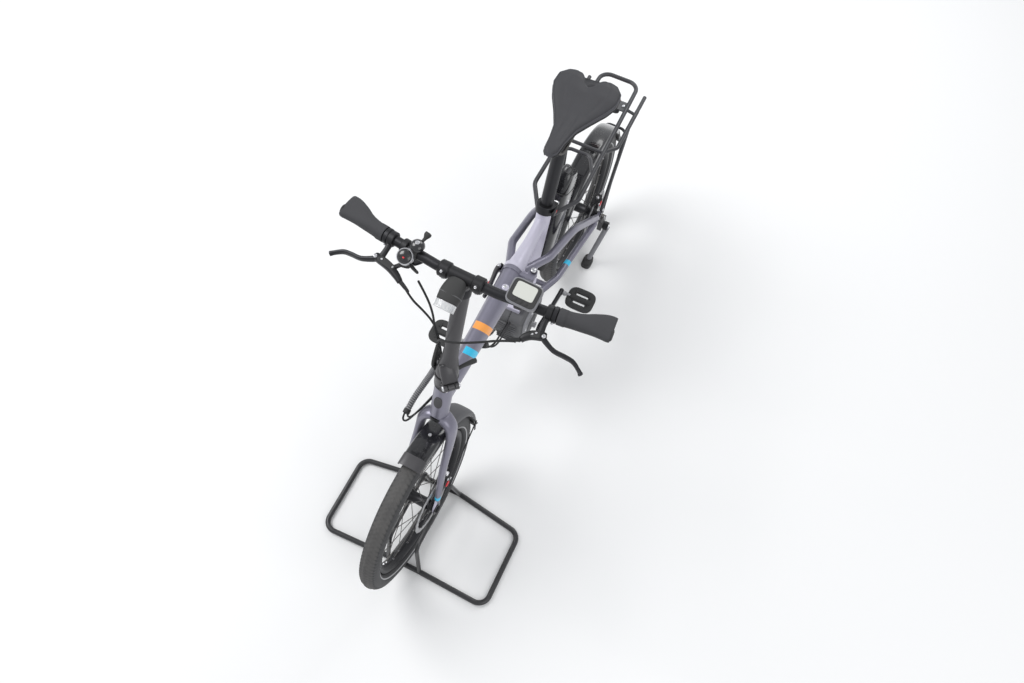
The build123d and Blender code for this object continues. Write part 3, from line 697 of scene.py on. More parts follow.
@dataclass(frozen=True)
class Metal(Finish):
    """Bare or anodised metal with fine drawn lines along one axis."""

    colour: Colour
    roughness: float = 0.3
    grain: Colour = (1.0, 1.0, 1.0)
    metallic: float = 0.9

    def dress(self, web: Web) -> None:
        """Stretched noise makes the drawn lines; a second one dulls and darkens handled patches.

        Args:
            web: the network to fill.
        """
        lines = web.noise(900, 2.0, web.stretched(self.grain))
        handled = web.noise(45, 4.0)
        colour = web.blend(lines * 0.6 + handled * 0.4, lighter(self.colour, 0.78),
                           lighter(self.colour, 1.25))
        rough = self.roughness + 0.14 * handled + 0.06 * lines
        web.surface({"Base Color": colour, "Roughness": rough, "Metallic": self.metallic,
                     "Normal": web.bump(lines, 0.15, 0.0002)})


@dataclass(frozen=True)
class Plastic(Finish):
    """Moulded plastic with spark-eroded grain and a little dust in its low spots."""

    colour: Colour
    roughness: float = 0.5
    grain: float = 1500.0
    depth: float = 0.00025
    coat: float = 0.0

    def dress(self, web: Web) -> None:
        """Fine cells make the grain; broad noise changes the gloss and lays a thin dust.

        Args:
            web: the network to fill.
        """
        grain = web.cells(self.grain)
        cloud = web.noise(30, 4.0)
        dust = web.noise(170, 5.0).above(0.63, 0.08) * 0.35
        base = web.blend(cloud, lighter(self.colour, 0.85), lighter(self.colour, 1.2))
        colour = web.blend(dust * 0.25, base, (0.25, 0.24, 0.23))
        rough = self.roughness + 0.12 * cloud + 0.2 * dust
        web.surface({"Base Color": colour, "Roughness": rough, "Metallic": 0.0,
                     "Normal": web.bump(grain, 0.25, self.depth), "Coat Weight": self.coat,
                     "Coat Roughness": 0.06})


@dataclass(frozen=True)
class TyreRubber(Finish):
    """Tyre rubber: dusty tread, darker sidewalls and a pale reflective line on each side."""

    centre: Colour
    colour: Colour = (0.035, 0.035, 0.037)

    def dress(self, web: Web) -> None:
        """Distance from the axle separates tread, sidewall and the reflective line.

        Args:
            web: the network to fill.
        """
        distance = web.reach(self.centre, (1.0, 0.0, 1.0))
        tread = distance.above(0.2495, 0.0015)
        line = distance.within(0.2185, 0.2212, 0.0004)
        grit = web.noise(650, 5.0)
        dust = web.noise(24, 5.0) * 0.6 + grit * 0.4
        worn = web.blend(dust * tread, self.colour, (0.13, 0.125, 0.12))
        colour = web.blend(line, worn, (0.42, 0.42, 0.43))
        rough = 0.62 + 0.25 * dust * tread - 0.22 * line
        web.surface({"Base Color": colour, "Roughness": rough, "Normal": web.bump(grit, 0.35, 0.0005)})


@dataclass(frozen=True)
class Rubber(Finish):
    """Moulded rubber with a fine cross-ribbed grip pattern."""

    colour: Colour = (0.03, 0.03, 0.032)
    ribs: float = 0.0

    def dress(self, web: Web) -> None:
        """Two crossed sine waves make the ribs, and noise makes the matt skin.

        Args:
            web: the network to fill.
        """
        skin = web.noise(1100, 4.0)
        wear = web.noise(35, 4.0)
        colour = web.blend(wear * 0.7 + skin * 0.3, lighter(self.colour, 0.8), lighter(self.colour, 1.7))
        height = skin
        if self.ribs:
            first = (web.axis((0.35, 1.0, 0.0)) * self.ribs).sine()
            second = (web.axis((1.0, -0.35, 0.9)) * self.ribs).sine()
            height = skin * 0.25 + (first * second).above(0.15, 0.35)
        web.surface({"Base Color": colour, "Roughness": 0.66 + 0.2 * wear,
                     "Normal": web.bump(height, 0.5, 0.0005)})


@dataclass(frozen=True)
class Leather(Finish):
    """Synthetic leather with small pebble grain, creases and a faint handling sheen."""

    colour: Colour
    pebble: float = 620.0
    sheen: float = 0.0

    def dress(self, web: Web) -> None:
        """Cell distances make the pebbles, stretched noise the creases, broad noise the worn gloss.

        Args:
            web: the network to fill.
        """
        pebble = web.cells(self.pebble, "SMOOTH_F1")
        crease = web.noise(90, 5.0, web.stretched((1.0, 3.2, 1.0)))
        worn = web.noise(16, 3.0)
        colour = web.blend(worn * 0.6 + pebble * 0.5, lighter(self.colour, 0.8), lighter(self.colour, 1.45))
        rough = 0.5 + 0.16 * worn + 0.1 * pebble
        web.surface({"Base Color": colour, "Roughness": rough, "Sheen Weight": self.sheen,
                     "Normal": web.bump(pebble * 0.7 + crease * 0.6, 0.4, 0.0007)})


@dataclass(frozen=True)
class Lens(Finish):
    """Moulded lens with fine optical ribs."""

    colour: Colour
    ribs: float
    transmission: float
    roughness: float = 0.08

    def dress(self, web: Web) -> None:
        """Crossed sine ribs press into the lens and change its tint a little.

        Args:
            web: the network to fill.
        """
        ribs = (web.axis((0.0, 1.0, 0.0)) * self.ribs).sine() * (web.axis((0.3, 0.0, 1.0)) * self.ribs).sine()
        colour = web.blend(ribs.above(0.0, 0.6), self.colour, lighter(self.colour, 1.25))
        web.surface({"Base Color": colour, "Roughness": self.roughness + 0.03 * web.noise(80, 2.0),
                     "Transmission Weight": self.transmission, "Normal": web.bump(ribs, 0.35, 0.0006)})


@dataclass(frozen=True)
class SpiralWrap(Finish):
    """Coiled plastic sleeve: pale ridges and dark gaps along the piece's own length."""

    colour: Colour
    turns: float

    def dress(self, web: Web) -> None:
        """A sine of the length, slid by the turn round it, makes the spiral.

        Args:
            web: the network to fill.
        """
        length, turn = web.chart()
        wave = (length * (self.turns * math.tau) + turn * math.tau).sine()
        ridge = wave.above(-0.35, 0.45)
        soil = web.noise(300, 4.0)
        colour = web.blend(ridge * (0.75 + 0.25 * soil), lighter(self.colour, 0.3), self.colour)
        web.surface({"Base Color": colour, "Roughness": 0.46 + 0.16 * soil,
                     "Normal": web.bump(wave, 0.5, 0.0012)})


@dataclass(frozen=True)
class Screen(Finish):
    """Switched-off reflective display panel under a clear cover."""

    colour: Colour = (0.62, 0.63, 0.58)

    def dress(self, web: Web) -> None:
        """A faint fine dot raster under a gloss cover.

        Args:
            web: the network to fill.
        """
        dots = (web.axis((0.0, 1.0, 0.0)) * 5200).sine() * (web.axis((1.0, 0.0, 0.0)) * 5200).sine()
        colour = web.blend(dots.above(0.2, 0.5) * 0.3, self.colour, lighter(self.colour, 0.86))
        web.surface({"Base Color": colour, "Roughness": 0.22 + 0.05 * web.noise(60, 2.0), "Coat Weight": 0.6,
                     "Coat Roughness": 0.05})


def row_x(x: float) -> float:
    """Row X in metres of a length along the bicycle in millimetres."""
    return (x + float(ORIGIN[0])) / 1000.0


def row_y(y: float) -> float:
    """Row Y in metres of a distance to the left in millimetres."""
    return (y + float(ORIGIN[1])) / 1000.0


# ------------------------------------------------------------------ finishes of this bicycle
LILAC: Colour = (0.215, 0.208, 0.262)
ORANGE: Colour = (0.92, 0.36, 0.07)
CYAN: Colour = (0.03, 0.52, 0.80)
LILAC_PAINT = Paint("lilac_paint", LILAC)
BAND_SLANT = 0.35
TUBE_HEIGHT = 0.6
TUBE_CROWN = 0.61


def tube_band(rear: float, front: float, colour: Colour, left: float, wrap: float) -> Band:
    """Slanted band round the main tube.

    Args:
        rear: where it starts along the bicycle at the tube's height, in millimetres.
        front: where it ends.
        colour: its colour.
        left: how far to the left it starts on the tube's crown, in millimetres.
        wrap: how much lower it starts for each length to the left.
    Returns:
        The band.
    """
    low, high = (row_x(x) - BAND_SLANT * TUBE_HEIGHT for x in (rear, front))
    return Band((1.0, 0.0, -BAND_SLANT), low, high, colour, (0.0, 1.0, wrap), row_y(left) + wrap * TUBE_CROWN)


MAIN_TUBE_PAINT = Paint("lilac_main_tube", LILAC, bands=(
    tube_band(-374, -352, ORANGE, -8, 0.35), tube_band(-300, -280, CYAN, 2, 0.2)))
STAY_PAINT = Paint("lilac_stays", LILAC, bands=(
    Band((1.0, 0.0, 0.0), row_x(-834), row_x(-816), CYAN, (0.0, 1.0, -0.45), row_y(56) - 0.45 * 0.32),))
FORK_PAINT = Paint("lilac_fork", LILAC, bands=(
    Band((0.0, 0.0, 1.0), 0.296, 0.309, CYAN, (0.0, 1.0, 0.0), row_y(10)),))
DARK_SATIN = Paint("dark_satin_paint", (0.062, 0.060, 0.064), 0.42, 0.45)
STAND_PAINT = Paint("black_stand_paint", (0.024, 0.024, 0.026), 0.36, 0.1)
RACK_PAINT = Paint("black_rack_paint", (0.045, 0.045, 0.05), 0.4, 0.3)
BLACK_METAL = Metal("black_anodised", (0.035, 0.035, 0.038), 0.3, (1.0, 0.08, 1.0), 0.75)
BLACK_PARTS = Metal("black_forged", (0.028, 0.028, 0.03), 0.34, (1.0, 1.0, 1.0), 0.6)
SILVER = Metal("polished_silver", (0.66, 0.66, 0.68), 0.2, (1.0, 0.1, 1.0), 1.0)
STEEL = Metal("turned_steel", (0.45, 0.45, 0.46), 0.3, (0.15, 1.0, 1.0), 1.0)
DARK_STEEL = Metal("oiled_steel", (0.13, 0.125, 0.12), 0.36, (1.0, 1.0, 1.0), 0.9)
BLACK_PLASTIC = Plastic("black_plastic", (0.02, 0.02, 0.022), 0.46)
# Grey moulded plastic of the motor, its hubs and fins, the lamp seam and the battery's handle recess; on both
# mudguards the same grey is a painted highlight.
GREY_PLASTIC_AND_PAINTED_HIGHLIGHT = Plastic("grey_motor_plastic", (0.085, 0.085, 0.09), 0.5, 900.0)
COVER_GREY = Plastic("grey_cover_plastic", (0.2, 0.2, 0.215), 0.42, 1200.0)
GLOSS_BLACK = Plastic("gloss_black_plastic", (0.011, 0.011, 0.013), 0.16, 60.0, 0.00005, 0.7)
DISPLAY_GREY = Plastic("display_grey_plastic", (0.21, 0.21, 0.225), 0.38, 1700.0)
ORANGE_REFLECTOR = Lens("orange_reflector", (0.9, 0.28, 0.03), 2400.0, 0.0, 0.25)
RED_LENS = Lens("red_tail_lens", (0.5, 0.008, 0.012), 1500.0, 0.15, 0.14)
CLEAR_LENS = Lens("clear_lamp_lens", (0.86, 0.88, 0.9), 900.0, 0.45, 0.1)
RED_MARK = Plastic("red_mark", (0.62, 0.02, 0.03), 0.4)
GRIP_RUBBER = Rubber("grip_rubber", (0.035, 0.035, 0.038), 2600.0)
HOSE_RUBBER = Rubber("hose_rubber", (0.012, 0.012, 0.013))
SADDLE_TOP = Leather("saddle_top_leather", (0.032, 0.032, 0.036), 640.0)
SADDLE_FLANK = Leather("saddle_flank_leather", (0.05, 0.05, 0.057), 900.0)
GREY_WRAP = SpiralWrap("grey_spiral_wrap", (0.3, 0.3, 0.31), 34.0)
PALE_SCREEN = Screen("pale_screen")


# ------------------------------------------------------------------ objects
def make(name: str, parts: list[tuple[Surface, Finish]], body: str, replaces: tuple[str, ...] = (),
         steer: bool = False, bevel: float = 0.0, smooth: float = 38.0) -> bpy.types.Object:
    """Join surfaces into one finished piece that rides on a CAD body.

    Args:
        name: the piece's name.
        parts: each surface with its finish.
        body: the CAD body that carries it.
        replaces: the CAD nodes that it stands for.
        steer: whether it is turned with the parked fork.
        bevel: width of a bevel on its sharp edges, in millimetres.
        smooth: faces that meet at less than this angle, in degrees, are shaded as one.
    Returns:
        The finished object, its place in its mesh.
    """
    offsets = np.cumsum([0] + [len(surface.points) for surface, _ in parts])
    points = np.concatenate([surface.points for surface, _ in parts])
    points = metres(steered(points) if steer else points)
    loops = [piece.ravel() + start for (surface, _), start in zip(parts, offsets)
             for piece in [surface.quads, *surface.caps]]
    sizes = np.concatenate([np.concatenate((np.full(len(s.quads), 4), [len(cap) for cap in s.caps])) for s,
                            _ in parts])
    finishes = list(dict.fromkeys(finish for _, finish in parts))
    index = np.concatenate([np.full(len(s.quads) + len(s.caps), finishes.index(finish)) for s,
                            finish in parts])
    corner = np.concatenate(loops).astype(np.int32)
    mesh = bpy.data.meshes.new(name)
    mesh.vertices.add(len(points))
    mesh.vertices.foreach_set("co", points.ravel())
    mesh.loops.add(len(corner))
    mesh.loops.foreach_set("vertex_index", corner)
    mesh.polygons.add(len(sizes))
    mesh.polygons.foreach_set("loop_start", np.concatenate(([0], np.cumsum(sizes)[:-1])).astype(np.int32))
    mesh.polygons.foreach_set("material_index", index.astype(np.int32))
    uv = np.concatenate([s.uv if s.uv is not None else np.zeros((len(s.points), 2)) for s, _ in parts])
    mesh.uv_layers.new(name="chart").data.foreach_set("uv", uv[corner].ravel())
    for finish in finishes:
        mesh.materials.append(finish.material())
    mesh.update(calc_edges=True)
    mesh.validate()
    mesh.shade_smooth()
    mesh.set_sharp_from_angle(angle=math.radians(smooth))
    piece = bpy.data.objects.new(name, mesh)
    bpy.context.scene.collection.objects.link(piece)
    if bevel:
        ease = piece.modifiers.new("eased_edges", "BEVEL")
        ease.width = bevel / 1000.0
        ease.segments = 2
        ease.limit_method = "ANGLE"
        ease.angle_limit = math.radians(50)
        ease.harden_normals = False
    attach(piece, body)
    if replaces:
        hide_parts(*replaces)
    log.info("built %s: %d points", name, len(points))
    return piece


def dress_node(node: str, finish: Finish) -> None:
    """Give a carried-over CAD node its finish in every material slot.

    Args:
        node: the node's name.
        finish: the finish it gets.
    """
    mesh = frame["nodes"][node].data
    mesh.materials.clear()
    mesh.materials.append(finish.material())
    log.info("dressed %s as %s", node, finish.name)


# ------------------------------------------------------------------ wheels
@dataclass
class Wheel:
    """One wheel: blocky tyre, rim, crossed spokes, hub and brake disc."""

    name: str
    x: float
    body: str
    steer: bool
    flange_y: float
    flange_radius: float
    shell_radius: float
    hub_half: float
    rotor_y: float
    crown: float = 230.0
    tyre_half: float = 27.0
    rim_radius: float = 205.0
    spoke_count: int = 28

    def centre(self) -> np.ndarray:
        """The hub's middle."""
        return np.array((self.x, 0.0, WHEEL_RADIUS))

    def row_centre(self) -> tuple[float, float, float]:
        """The hub's middle in metres, as the shaders read it."""
        place = metres(steered(self.centre()) if self.steer else self.centre())
        return tuple(float(value) for value in place)

    def tyre(self) -> Surface:
        """Torus with its section stretched to two beads, and tread blocks raised on its crown.

        The block height is a product of two steps: one across grooves that run round the tyre,
        one across slanted grooves whose phase shifts with the distance from the middle.

        Returns:
            The closed tyre with its blocks.
        """
        stations, columns, block_pairs, block_height = 660, 46, 60, 2.0
        bead, neck_start, tread_edge = np.radians((152.0, 110.0, 60.0))
        turn = np.linspace(0, math.tau, stations, endpoint=False)[:, None]
        lean = np.linspace(-bead, bead, columns)[None]
        rows = np.clip((np.abs(np.sin(lean * 4.4 + 1.57)) - 0.22) * 6, 0, 1)
        slant = np.sin(turn * block_pairs + 4.8 * np.abs(np.sin(lean)) + np.sign(np.sin(lean)) * 0.9)
        blocks = np.clip((np.abs(slant) - 0.24) * 5, 0, 1) * rows
        zone = np.clip((tread_edge - np.abs(lean)) * 9, 0, 1)
        fade = np.clip((bead - np.abs(lean)) * 3, 0.35, 1)
        swell = self.tyre_half - block_height + block_height * zone * blocks + 0 * turn
        neck = np.where(np.abs(lean) > neck_start, fade, 1.0)
        y = swell * np.sin(lean) * neck
        radius = self.crown + swell * np.cos(lean)
        radius = np.maximum(radius, self.rim_radius - 1.0)
        return grid(around(self.x, radius, np.degrees(turn), y), wrap_u=True, wrap_v=True)

    def rim(self) -> Surface:
        """Double-walled rim: hooked side walls, a sunken bed and a rounded spoke bed.

        Returns:
            The closed rim.
        """
        r = self.rim_radius
        profile = [(-15, r + 3), (-13, r + 3.5), (-12, r - 1), (-6, r - 4), (6, r - 4), (12, r - 1),
                   (13, r + 3.5), (15, r + 3), (15.4, r - 6), (13, r - 10), (7, r - 15), (0, r - 16.5),
                   (-7, r - 15), (-13, r - 10), (-15.4, r - 6)]
        return lathe(profile, self.centre(), LEFTWARD, 160, closed_ring=True)

    def spoke_ends(self) -> tuple[np.ndarray, np.ndarray]:
        """Feet on the flanges and heads at the rim, crossing in pairs.

        Returns:
            The feet and the heads, in the same order.
        """
        number = np.arange(self.spoke_count)
        side = np.where(number % 2, 1.0, -1.0)
        lead = np.where(number % 4 < 2, 32.0, -32.0)
        angle = 360.0 * number / self.spoke_count
        feet = around(self.x, self.flange_radius, angle + lead, side * self.flange_y)
        heads = around(self.x, self.rim_radius - 15.0, angle, side * 2.0)
        return feet, heads

    def hub(self) -> Surface:
        """Turned hub shell with two spoke flanges and end caps.

        Returns:
            The closed shell.
        """
        f, s, r, h = self.flange_y, self.shell_radius, self.flange_radius + 4.0, self.hub_half
        half = [(h, 10), (h, 12), (f + 6, 12.5), (f + 5, s), (f + 2, s + 1), (f + 2, r), (f - 2, r),
                (f - 3, s + 3), (f - 8, s)]
        profile = half + [(0, s - 0.5)] + [(-y, radius) for y, radius in half[::-1]]
        return lathe(profile, self.centre(), LEFTWARD, 56)

    def rotor(self) -> list[Surface]:
        """Brake disc: a wavy ring, six swept arms and a round carrier with its lock ring.

        Returns:
            The ring with its arms, and the carrier.
        """
        count = 180
        turn = np.linspace(0, math.tau, count, endpoint=False)[:, None]
        wave = np.sin(turn * 18)
        radii = np.concatenate((66.5 + 1.6 * wave, 79.0 + 1.0 * wave, 79.0 + 1.0 * wave, 66.5 + 1.6 * wave),
                               1)
        thick = self.rotor_y + np.array((-1.0, -1.0, 1.0, 1.0))[None]
        middle = self.centre() + (0, self.rotor_y, 0)
        ring = grid(around(self.x, radii, np.degrees(turn), thick), wrap_u=True, wrap_v=True)
        arms = []
        for index in range(6):
            along = np.linspace(0, 1, 8)
            path = around(self.x, 20 + 48 * along, 60 * index + 26 * along**0.8, self.rotor_y)
            section = oval(10, np.full(8, 5.0)) * np.stack((np.full(8, 1.0), 3.6 - 1.0 * along), -1)[:, None]
            arms.append(grid(carried(path, section, LEFTWARD), wrap_v=True, closed=True))
        carrier = lathe([(-1.2, 12.5), (-1.2, 24), (1.2, 24), (1.2, 12.5)], middle, LEFTWARD, 48,
                        closed_ring=True)
        lock = lathe([(1.2, 12.5), (1.2, 20), (4.4, 19), (4.4, 12.5)], middle, LEFTWARD, 24, closed_ring=True)
        return [ring, carrier, lock] + arms

    def build(self) -> None:
        """Make the tyre, the laced wheel and the brake disc."""
        rubber = TyreRubber(f"{self.name}_tyre_rubber", self.row_centre())
        make(f"{self.name}_tyre_tread", [(self.tyre(), rubber)], self.body, (f"{self.name}_tyre",),
             self.steer, smooth=60)
        feet, heads = self.spoke_ends()
        nipples = rods(heads - (heads - feet) * 0.03, heads, 2.1, 8)
        valve_foot, valve_tip = (around(self.x, [self.rim_radius - depth], [97.0]) for depth in (16, 46))
        valve = rods(valve_foot, valve_tip, 3.4, 12)
        parts = [(self.rim(), BLACK_METAL), (rods(feet, heads, 1.05), DARK_STEEL), (nipples, SILVER),
                 (valve, BLACK_PLASTIC), (self.hub(), BLACK_METAL)]
        make(f"{self.name}_wheel_laced", parts, self.body, (f"{self.name}_wheel",), self.steer)
        disc = [(surface, STEEL if number < 1 else BLACK_PARTS) for number,
                surface in enumerate(self.rotor())]
        make(f"{self.name}_brake_disc", disc, self.body, (f"{self.name}_rotor",), self.steer)


@dataclass
class Mudguard:
    """Arched mudguard round a wheel, with its lip, flap and clips."""

    name: str
    node: str
    x: float
    body: str
    steer: bool
    first: float
    last: float
    radius: float = 270.0
    half: float = 30.0

    def channel(self, first: float, last: float, grow: float, count: int, thick: float = 1.8) -> Surface:
        """Arched strip between two angles: the section is a flattened arch with rolled rims.

        Args:
            first: where it starts, in degrees from forward.
            last: where it ends.
            grow: how far it stands outside the plain mudguard.
            count: rows along it.
            thick: wall thickness.
        Returns:
            The strip with its wall.
        """
        span = np.linspace(-1, 1, 19)
        y = (self.half + grow) * np.sin(span * math.pi / 2)
        rise = self.radius + grow - 14.0 * np.abs(span) ** 3.2
        inner_y, inner_rise = y * (1 - thick / self.half), rise - thick
        outline_y = np.concatenate((y, inner_y[::-1]))
        outline_r = np.concatenate((rise, inner_rise[::-1]))
        turn = np.linspace(first, last, count)[:, None]
        return grid(around(self.x, outline_r[None], turn, outline_y[None] + 0 * turn), wrap_v=True,
                    closed=True)

    def build(self, extras: list[tuple[Surface, Finish]]) -> None:
        """Make the gloss shell and join the pieces on it, painted highlight strips among them.

        Args:
            extras: the pieces on the shell, fixed parts and painted highlight strips, each with its finish.
        """
        shell = self.channel(self.first, self.last, 0.0, 72)
        parts = [(shell, GLOSS_BLACK)] + extras
        make(self.name, parts, self.body, (self.node,), self.steer, smooth=50)


@dataclass
class RunningGear:
    """Both wheels and both mudguards."""

    def front_extras(self, guard: Mudguard) -> list[tuple[Surface, Finish]]:
        """Satin lip at the front of the front mudguard, a grey sheet over its rear half that paints the
        highlight of the gloss shell, and its fixing bolt.

        Args:
            guard: the front mudguard.
        Returns:
            Each piece with its finish.
        """
        lip = guard.channel(87.6, 94.5, 1.0, 10, 3.0)
        # cover is a grey sheet over the rear half of the gloss shell: a painted highlight, not a separate
        # part.
        cover = guard.channel(122.0, 188.0, 0.7, 40, 2.6)
        screw = bolt(around(0.0, 271.0, 109.0), around(0.0, 1.0, 109.0) - around(0.0, 0.0, 0.0), 4.5, 3.0)
        return [(lip, DARK_SATIN), (cover, GREY_PLASTIC_AND_PAINTED_HIGHLIGHT), (screw, SILVER)]

    def flap(self, x: float, angle: float, length: float, width: float) -> Surface:
        """Soft flap at a mudguard's rear end, a strip that turns gently outwards.

        Args:
            x: the axle's place along the bicycle.
            angle: where the mudguard ends, in degrees.
            length: length of the flap.
            width: width of the flap.
        Returns:
            The closed flap.
        """
        along = np.linspace(0, 1, 8)
        path = around(x, 267.0 + 26 * along**2 * length / 40.0, angle + along * length / 4.7, 0.0)
        half = np.stack((width * (1 - 0.12 * along), np.full(8, 1.1)), -1)
        return grid(carried(path, oval(20, np.full(8, 7.0)) * half[:, None], LEFTWARD), wrap_v=True,
                    closed=True)

    def build(self) -> None:
        """Make the wheels and the mudguards."""
        Wheel("front", 0.0, "front_wheel_set", True, 28.0, 24.0, 15.0, 49.5, 40.0).build()
        Wheel("rear", -WHEELBASE, "rear_wheel_set", False, 29.0, 26.0, 16.0, 67.0, 54.0).build()
        front = Mudguard("front_mudguard", "front_fender", 0.0, "fork_and_stand", True, 88.0, 188.0)
        front.build(self.front_extras(front) + [(self.flap(0.0, 184.0, 34.0, 27.0), BLACK_PLASTIC)])
        rear = Mudguard("rear_mudguard", "rear_fender", -WHEELBASE, "rear_half", False, 30.0, 168.0)
        # tail is a grey strip over the rear end of the gloss shell: a painted highlight, not a separate part.
        tail = rear.channel(158.0, 168.3, 0.8, 12, 3.0)
        rear.build([(tail, GREY_PLASTIC_AND_PAINTED_HIGHLIGHT), (self.flap(-WHEELBASE, 164.0, 42.0, 26.0), BLACK_PLASTIC)])


# ------------------------------------------------------------------ fork and steering
@dataclass
class Fork:
    """Fork with rounded crown and oval blades, its ends and the headset rings."""

    def arch(self) -> Surface:
        """One body from dropout to dropout: up a blade, over the wheel in a round arch and down again.

        Returns:
            The closed body.
        """
        low, top = WHEEL_RADIUS, head_x(500.0)
        right = [(-14, -53, 262, 6.0, 5.0, 3), (-15, -53, low + 34, 8.0, 7.0, 2.4),
                 (-30, -51, 330, 11.0, 8.0, 2.2), (-62, -47, 400, 14.0, 8.5, 2.2),
                 (-98, -44, 460, 17.0, 9.5, 2.3), (top, -42, 500, 19.0, 10.5, 2.4),
                 (-126, -37, 526, 20.0, 13.0, 2.4), (-131, -24, 543, 21.0, 13.0, 2.4),
                 (-134, -9, 547, 22.0, 13.0, 2.4)]
        left = [(x, -y, z, a, b, n) for x, y, z, a, b, n in right[::-1]]
        return loft(right + left, HEAD_FORWARD, 96, 28)

    def ends(self, side: Side) -> list[tuple[Surface, Finish]]:
        """Flat fork end with the axle nut, washer and quick cap.

        Args:
            side: which side of the bicycle.
        Returns:
            Each piece with its finish.
        """
        outline = [(-14, -12), (8, -13), (14, 0), (9, 15), (-4, 34), (-24, 42), (-27, 30), (-18, 8)]
        low = 50.0 if side is Side.LEFT else -56.0
        plate = slab(outline, -6.0, 0.0, (0, low, WHEEL_RADIUS), FORWARD, UPWARD, 0.8)
        out = side.value * LEFTWARD
        face = np.array((0.0, side.value * 58.0, WHEEL_RADIUS))
        nut = lathe([(-1, 11), (5.2, 11), (7.4, 9), (8, 6), (8, 4)], face - 0.2 * out, out,
                    6 if side is Side.RIGHT else 28)
        washer = lathe([(-3.2, 12.5), (0.4, 12.5), (0.4, 6), (-3.2, 6)], face, out, 32)
        return [(plate, LILAC_PAINT), (nut, BLACK_PARTS), (washer, STEEL)]

    def headset(self) -> list[tuple[Surface, Finish]]:
        """Dark crown ring under the head tube, with its seal.

        Returns:
            Each piece with its finish.
        """
        low = head_point(HEAD_LOW, up=-14.0)
        rings = lathe([(0, 19), (2, 24.5), (8, 25.4), (10.5, 24.5), (10.5, 16)], low, HEAD_UP, 56)
        bolt_head = bolt(head_point(546.0, 19.5), HEAD_FORWARD, 5.0, 4.0)
        return [(rings, BLACK_METAL), (bolt_head, SILVER)]

    def build(self) -> None:
        """Make the fork with its ends and headset ring."""
        parts = [(self.arch(), FORK_PAINT)]
        for side in Side:
            parts += self.ends(side)
        steerer = lathe([(-4, 14.0), (128, 14.0)], head_point(HEAD_LOW), HEAD_UP, 24)
        make("fork_blades", parts + self.headset() + [(steerer, STEEL)], "fork_and_stand",
             ("fork", "front_axle"), True)
        dress_node("front_fender_stays", BLACK_METAL)


@dataclass
class Caliper:
    """Hydraulic disc caliper: two rounded halves over the rotor with pads, bolts and a banjo fitting."""

    name: str
    node: str
    body: str
    steer: bool
    x: float
    rotor_y: float
    angle: float

    def build(self) -> None:
        """Place both halves, square to the wheel's radius."""
        place = around(self.x, 72.0, self.angle, self.rotor_y)
        out = unit(around(0.0, 1.0, self.angle, 0.0, 0.0))
        along = np.cross(out, LEFTWARD)
        parts = []
        for shift, thick in ((9.2, 4.6), (-7.0, 4.8)):
            half = slab(rounded_outline(20.0, 17.0, 4.0), -thick, thick, place + out * 2 + LEFTWARD * shift,
                        along, out, 1.6)
            parts.append((half, BLACK_PARTS))
        bridge = slab(rounded_outline(19.0, 3.2, 6.0), -10.0, 10.0, place + out * 15.0 + LEFTWARD, along,
                      out, 1.0)
        parts.append((bridge, BLACK_PARTS))
        for offset in (-13.0, 13.0):
            parts.append((bolt(place + out * 14 + along * offset + LEFTWARD * 12.6, LEFTWARD, 3.6, 2.6),
                          SILVER))
        cap = lathe([(0, 8.5), (2.0, 9.2), (3.0, 8.2), (3.2, 4)], place + LEFTWARD * 13.2, LEFTWARD, 30)
        parts.append((cap, RED_MARK))
        fitting = lathe([(0, 4.5), (12, 4.2), (14, 3.0)], place + out * 16 + LEFTWARD * 3, out, 16)
        make(self.name, parts + [(fitting, SILVER)], self.body, (self.node,), self.steer, 0.5)


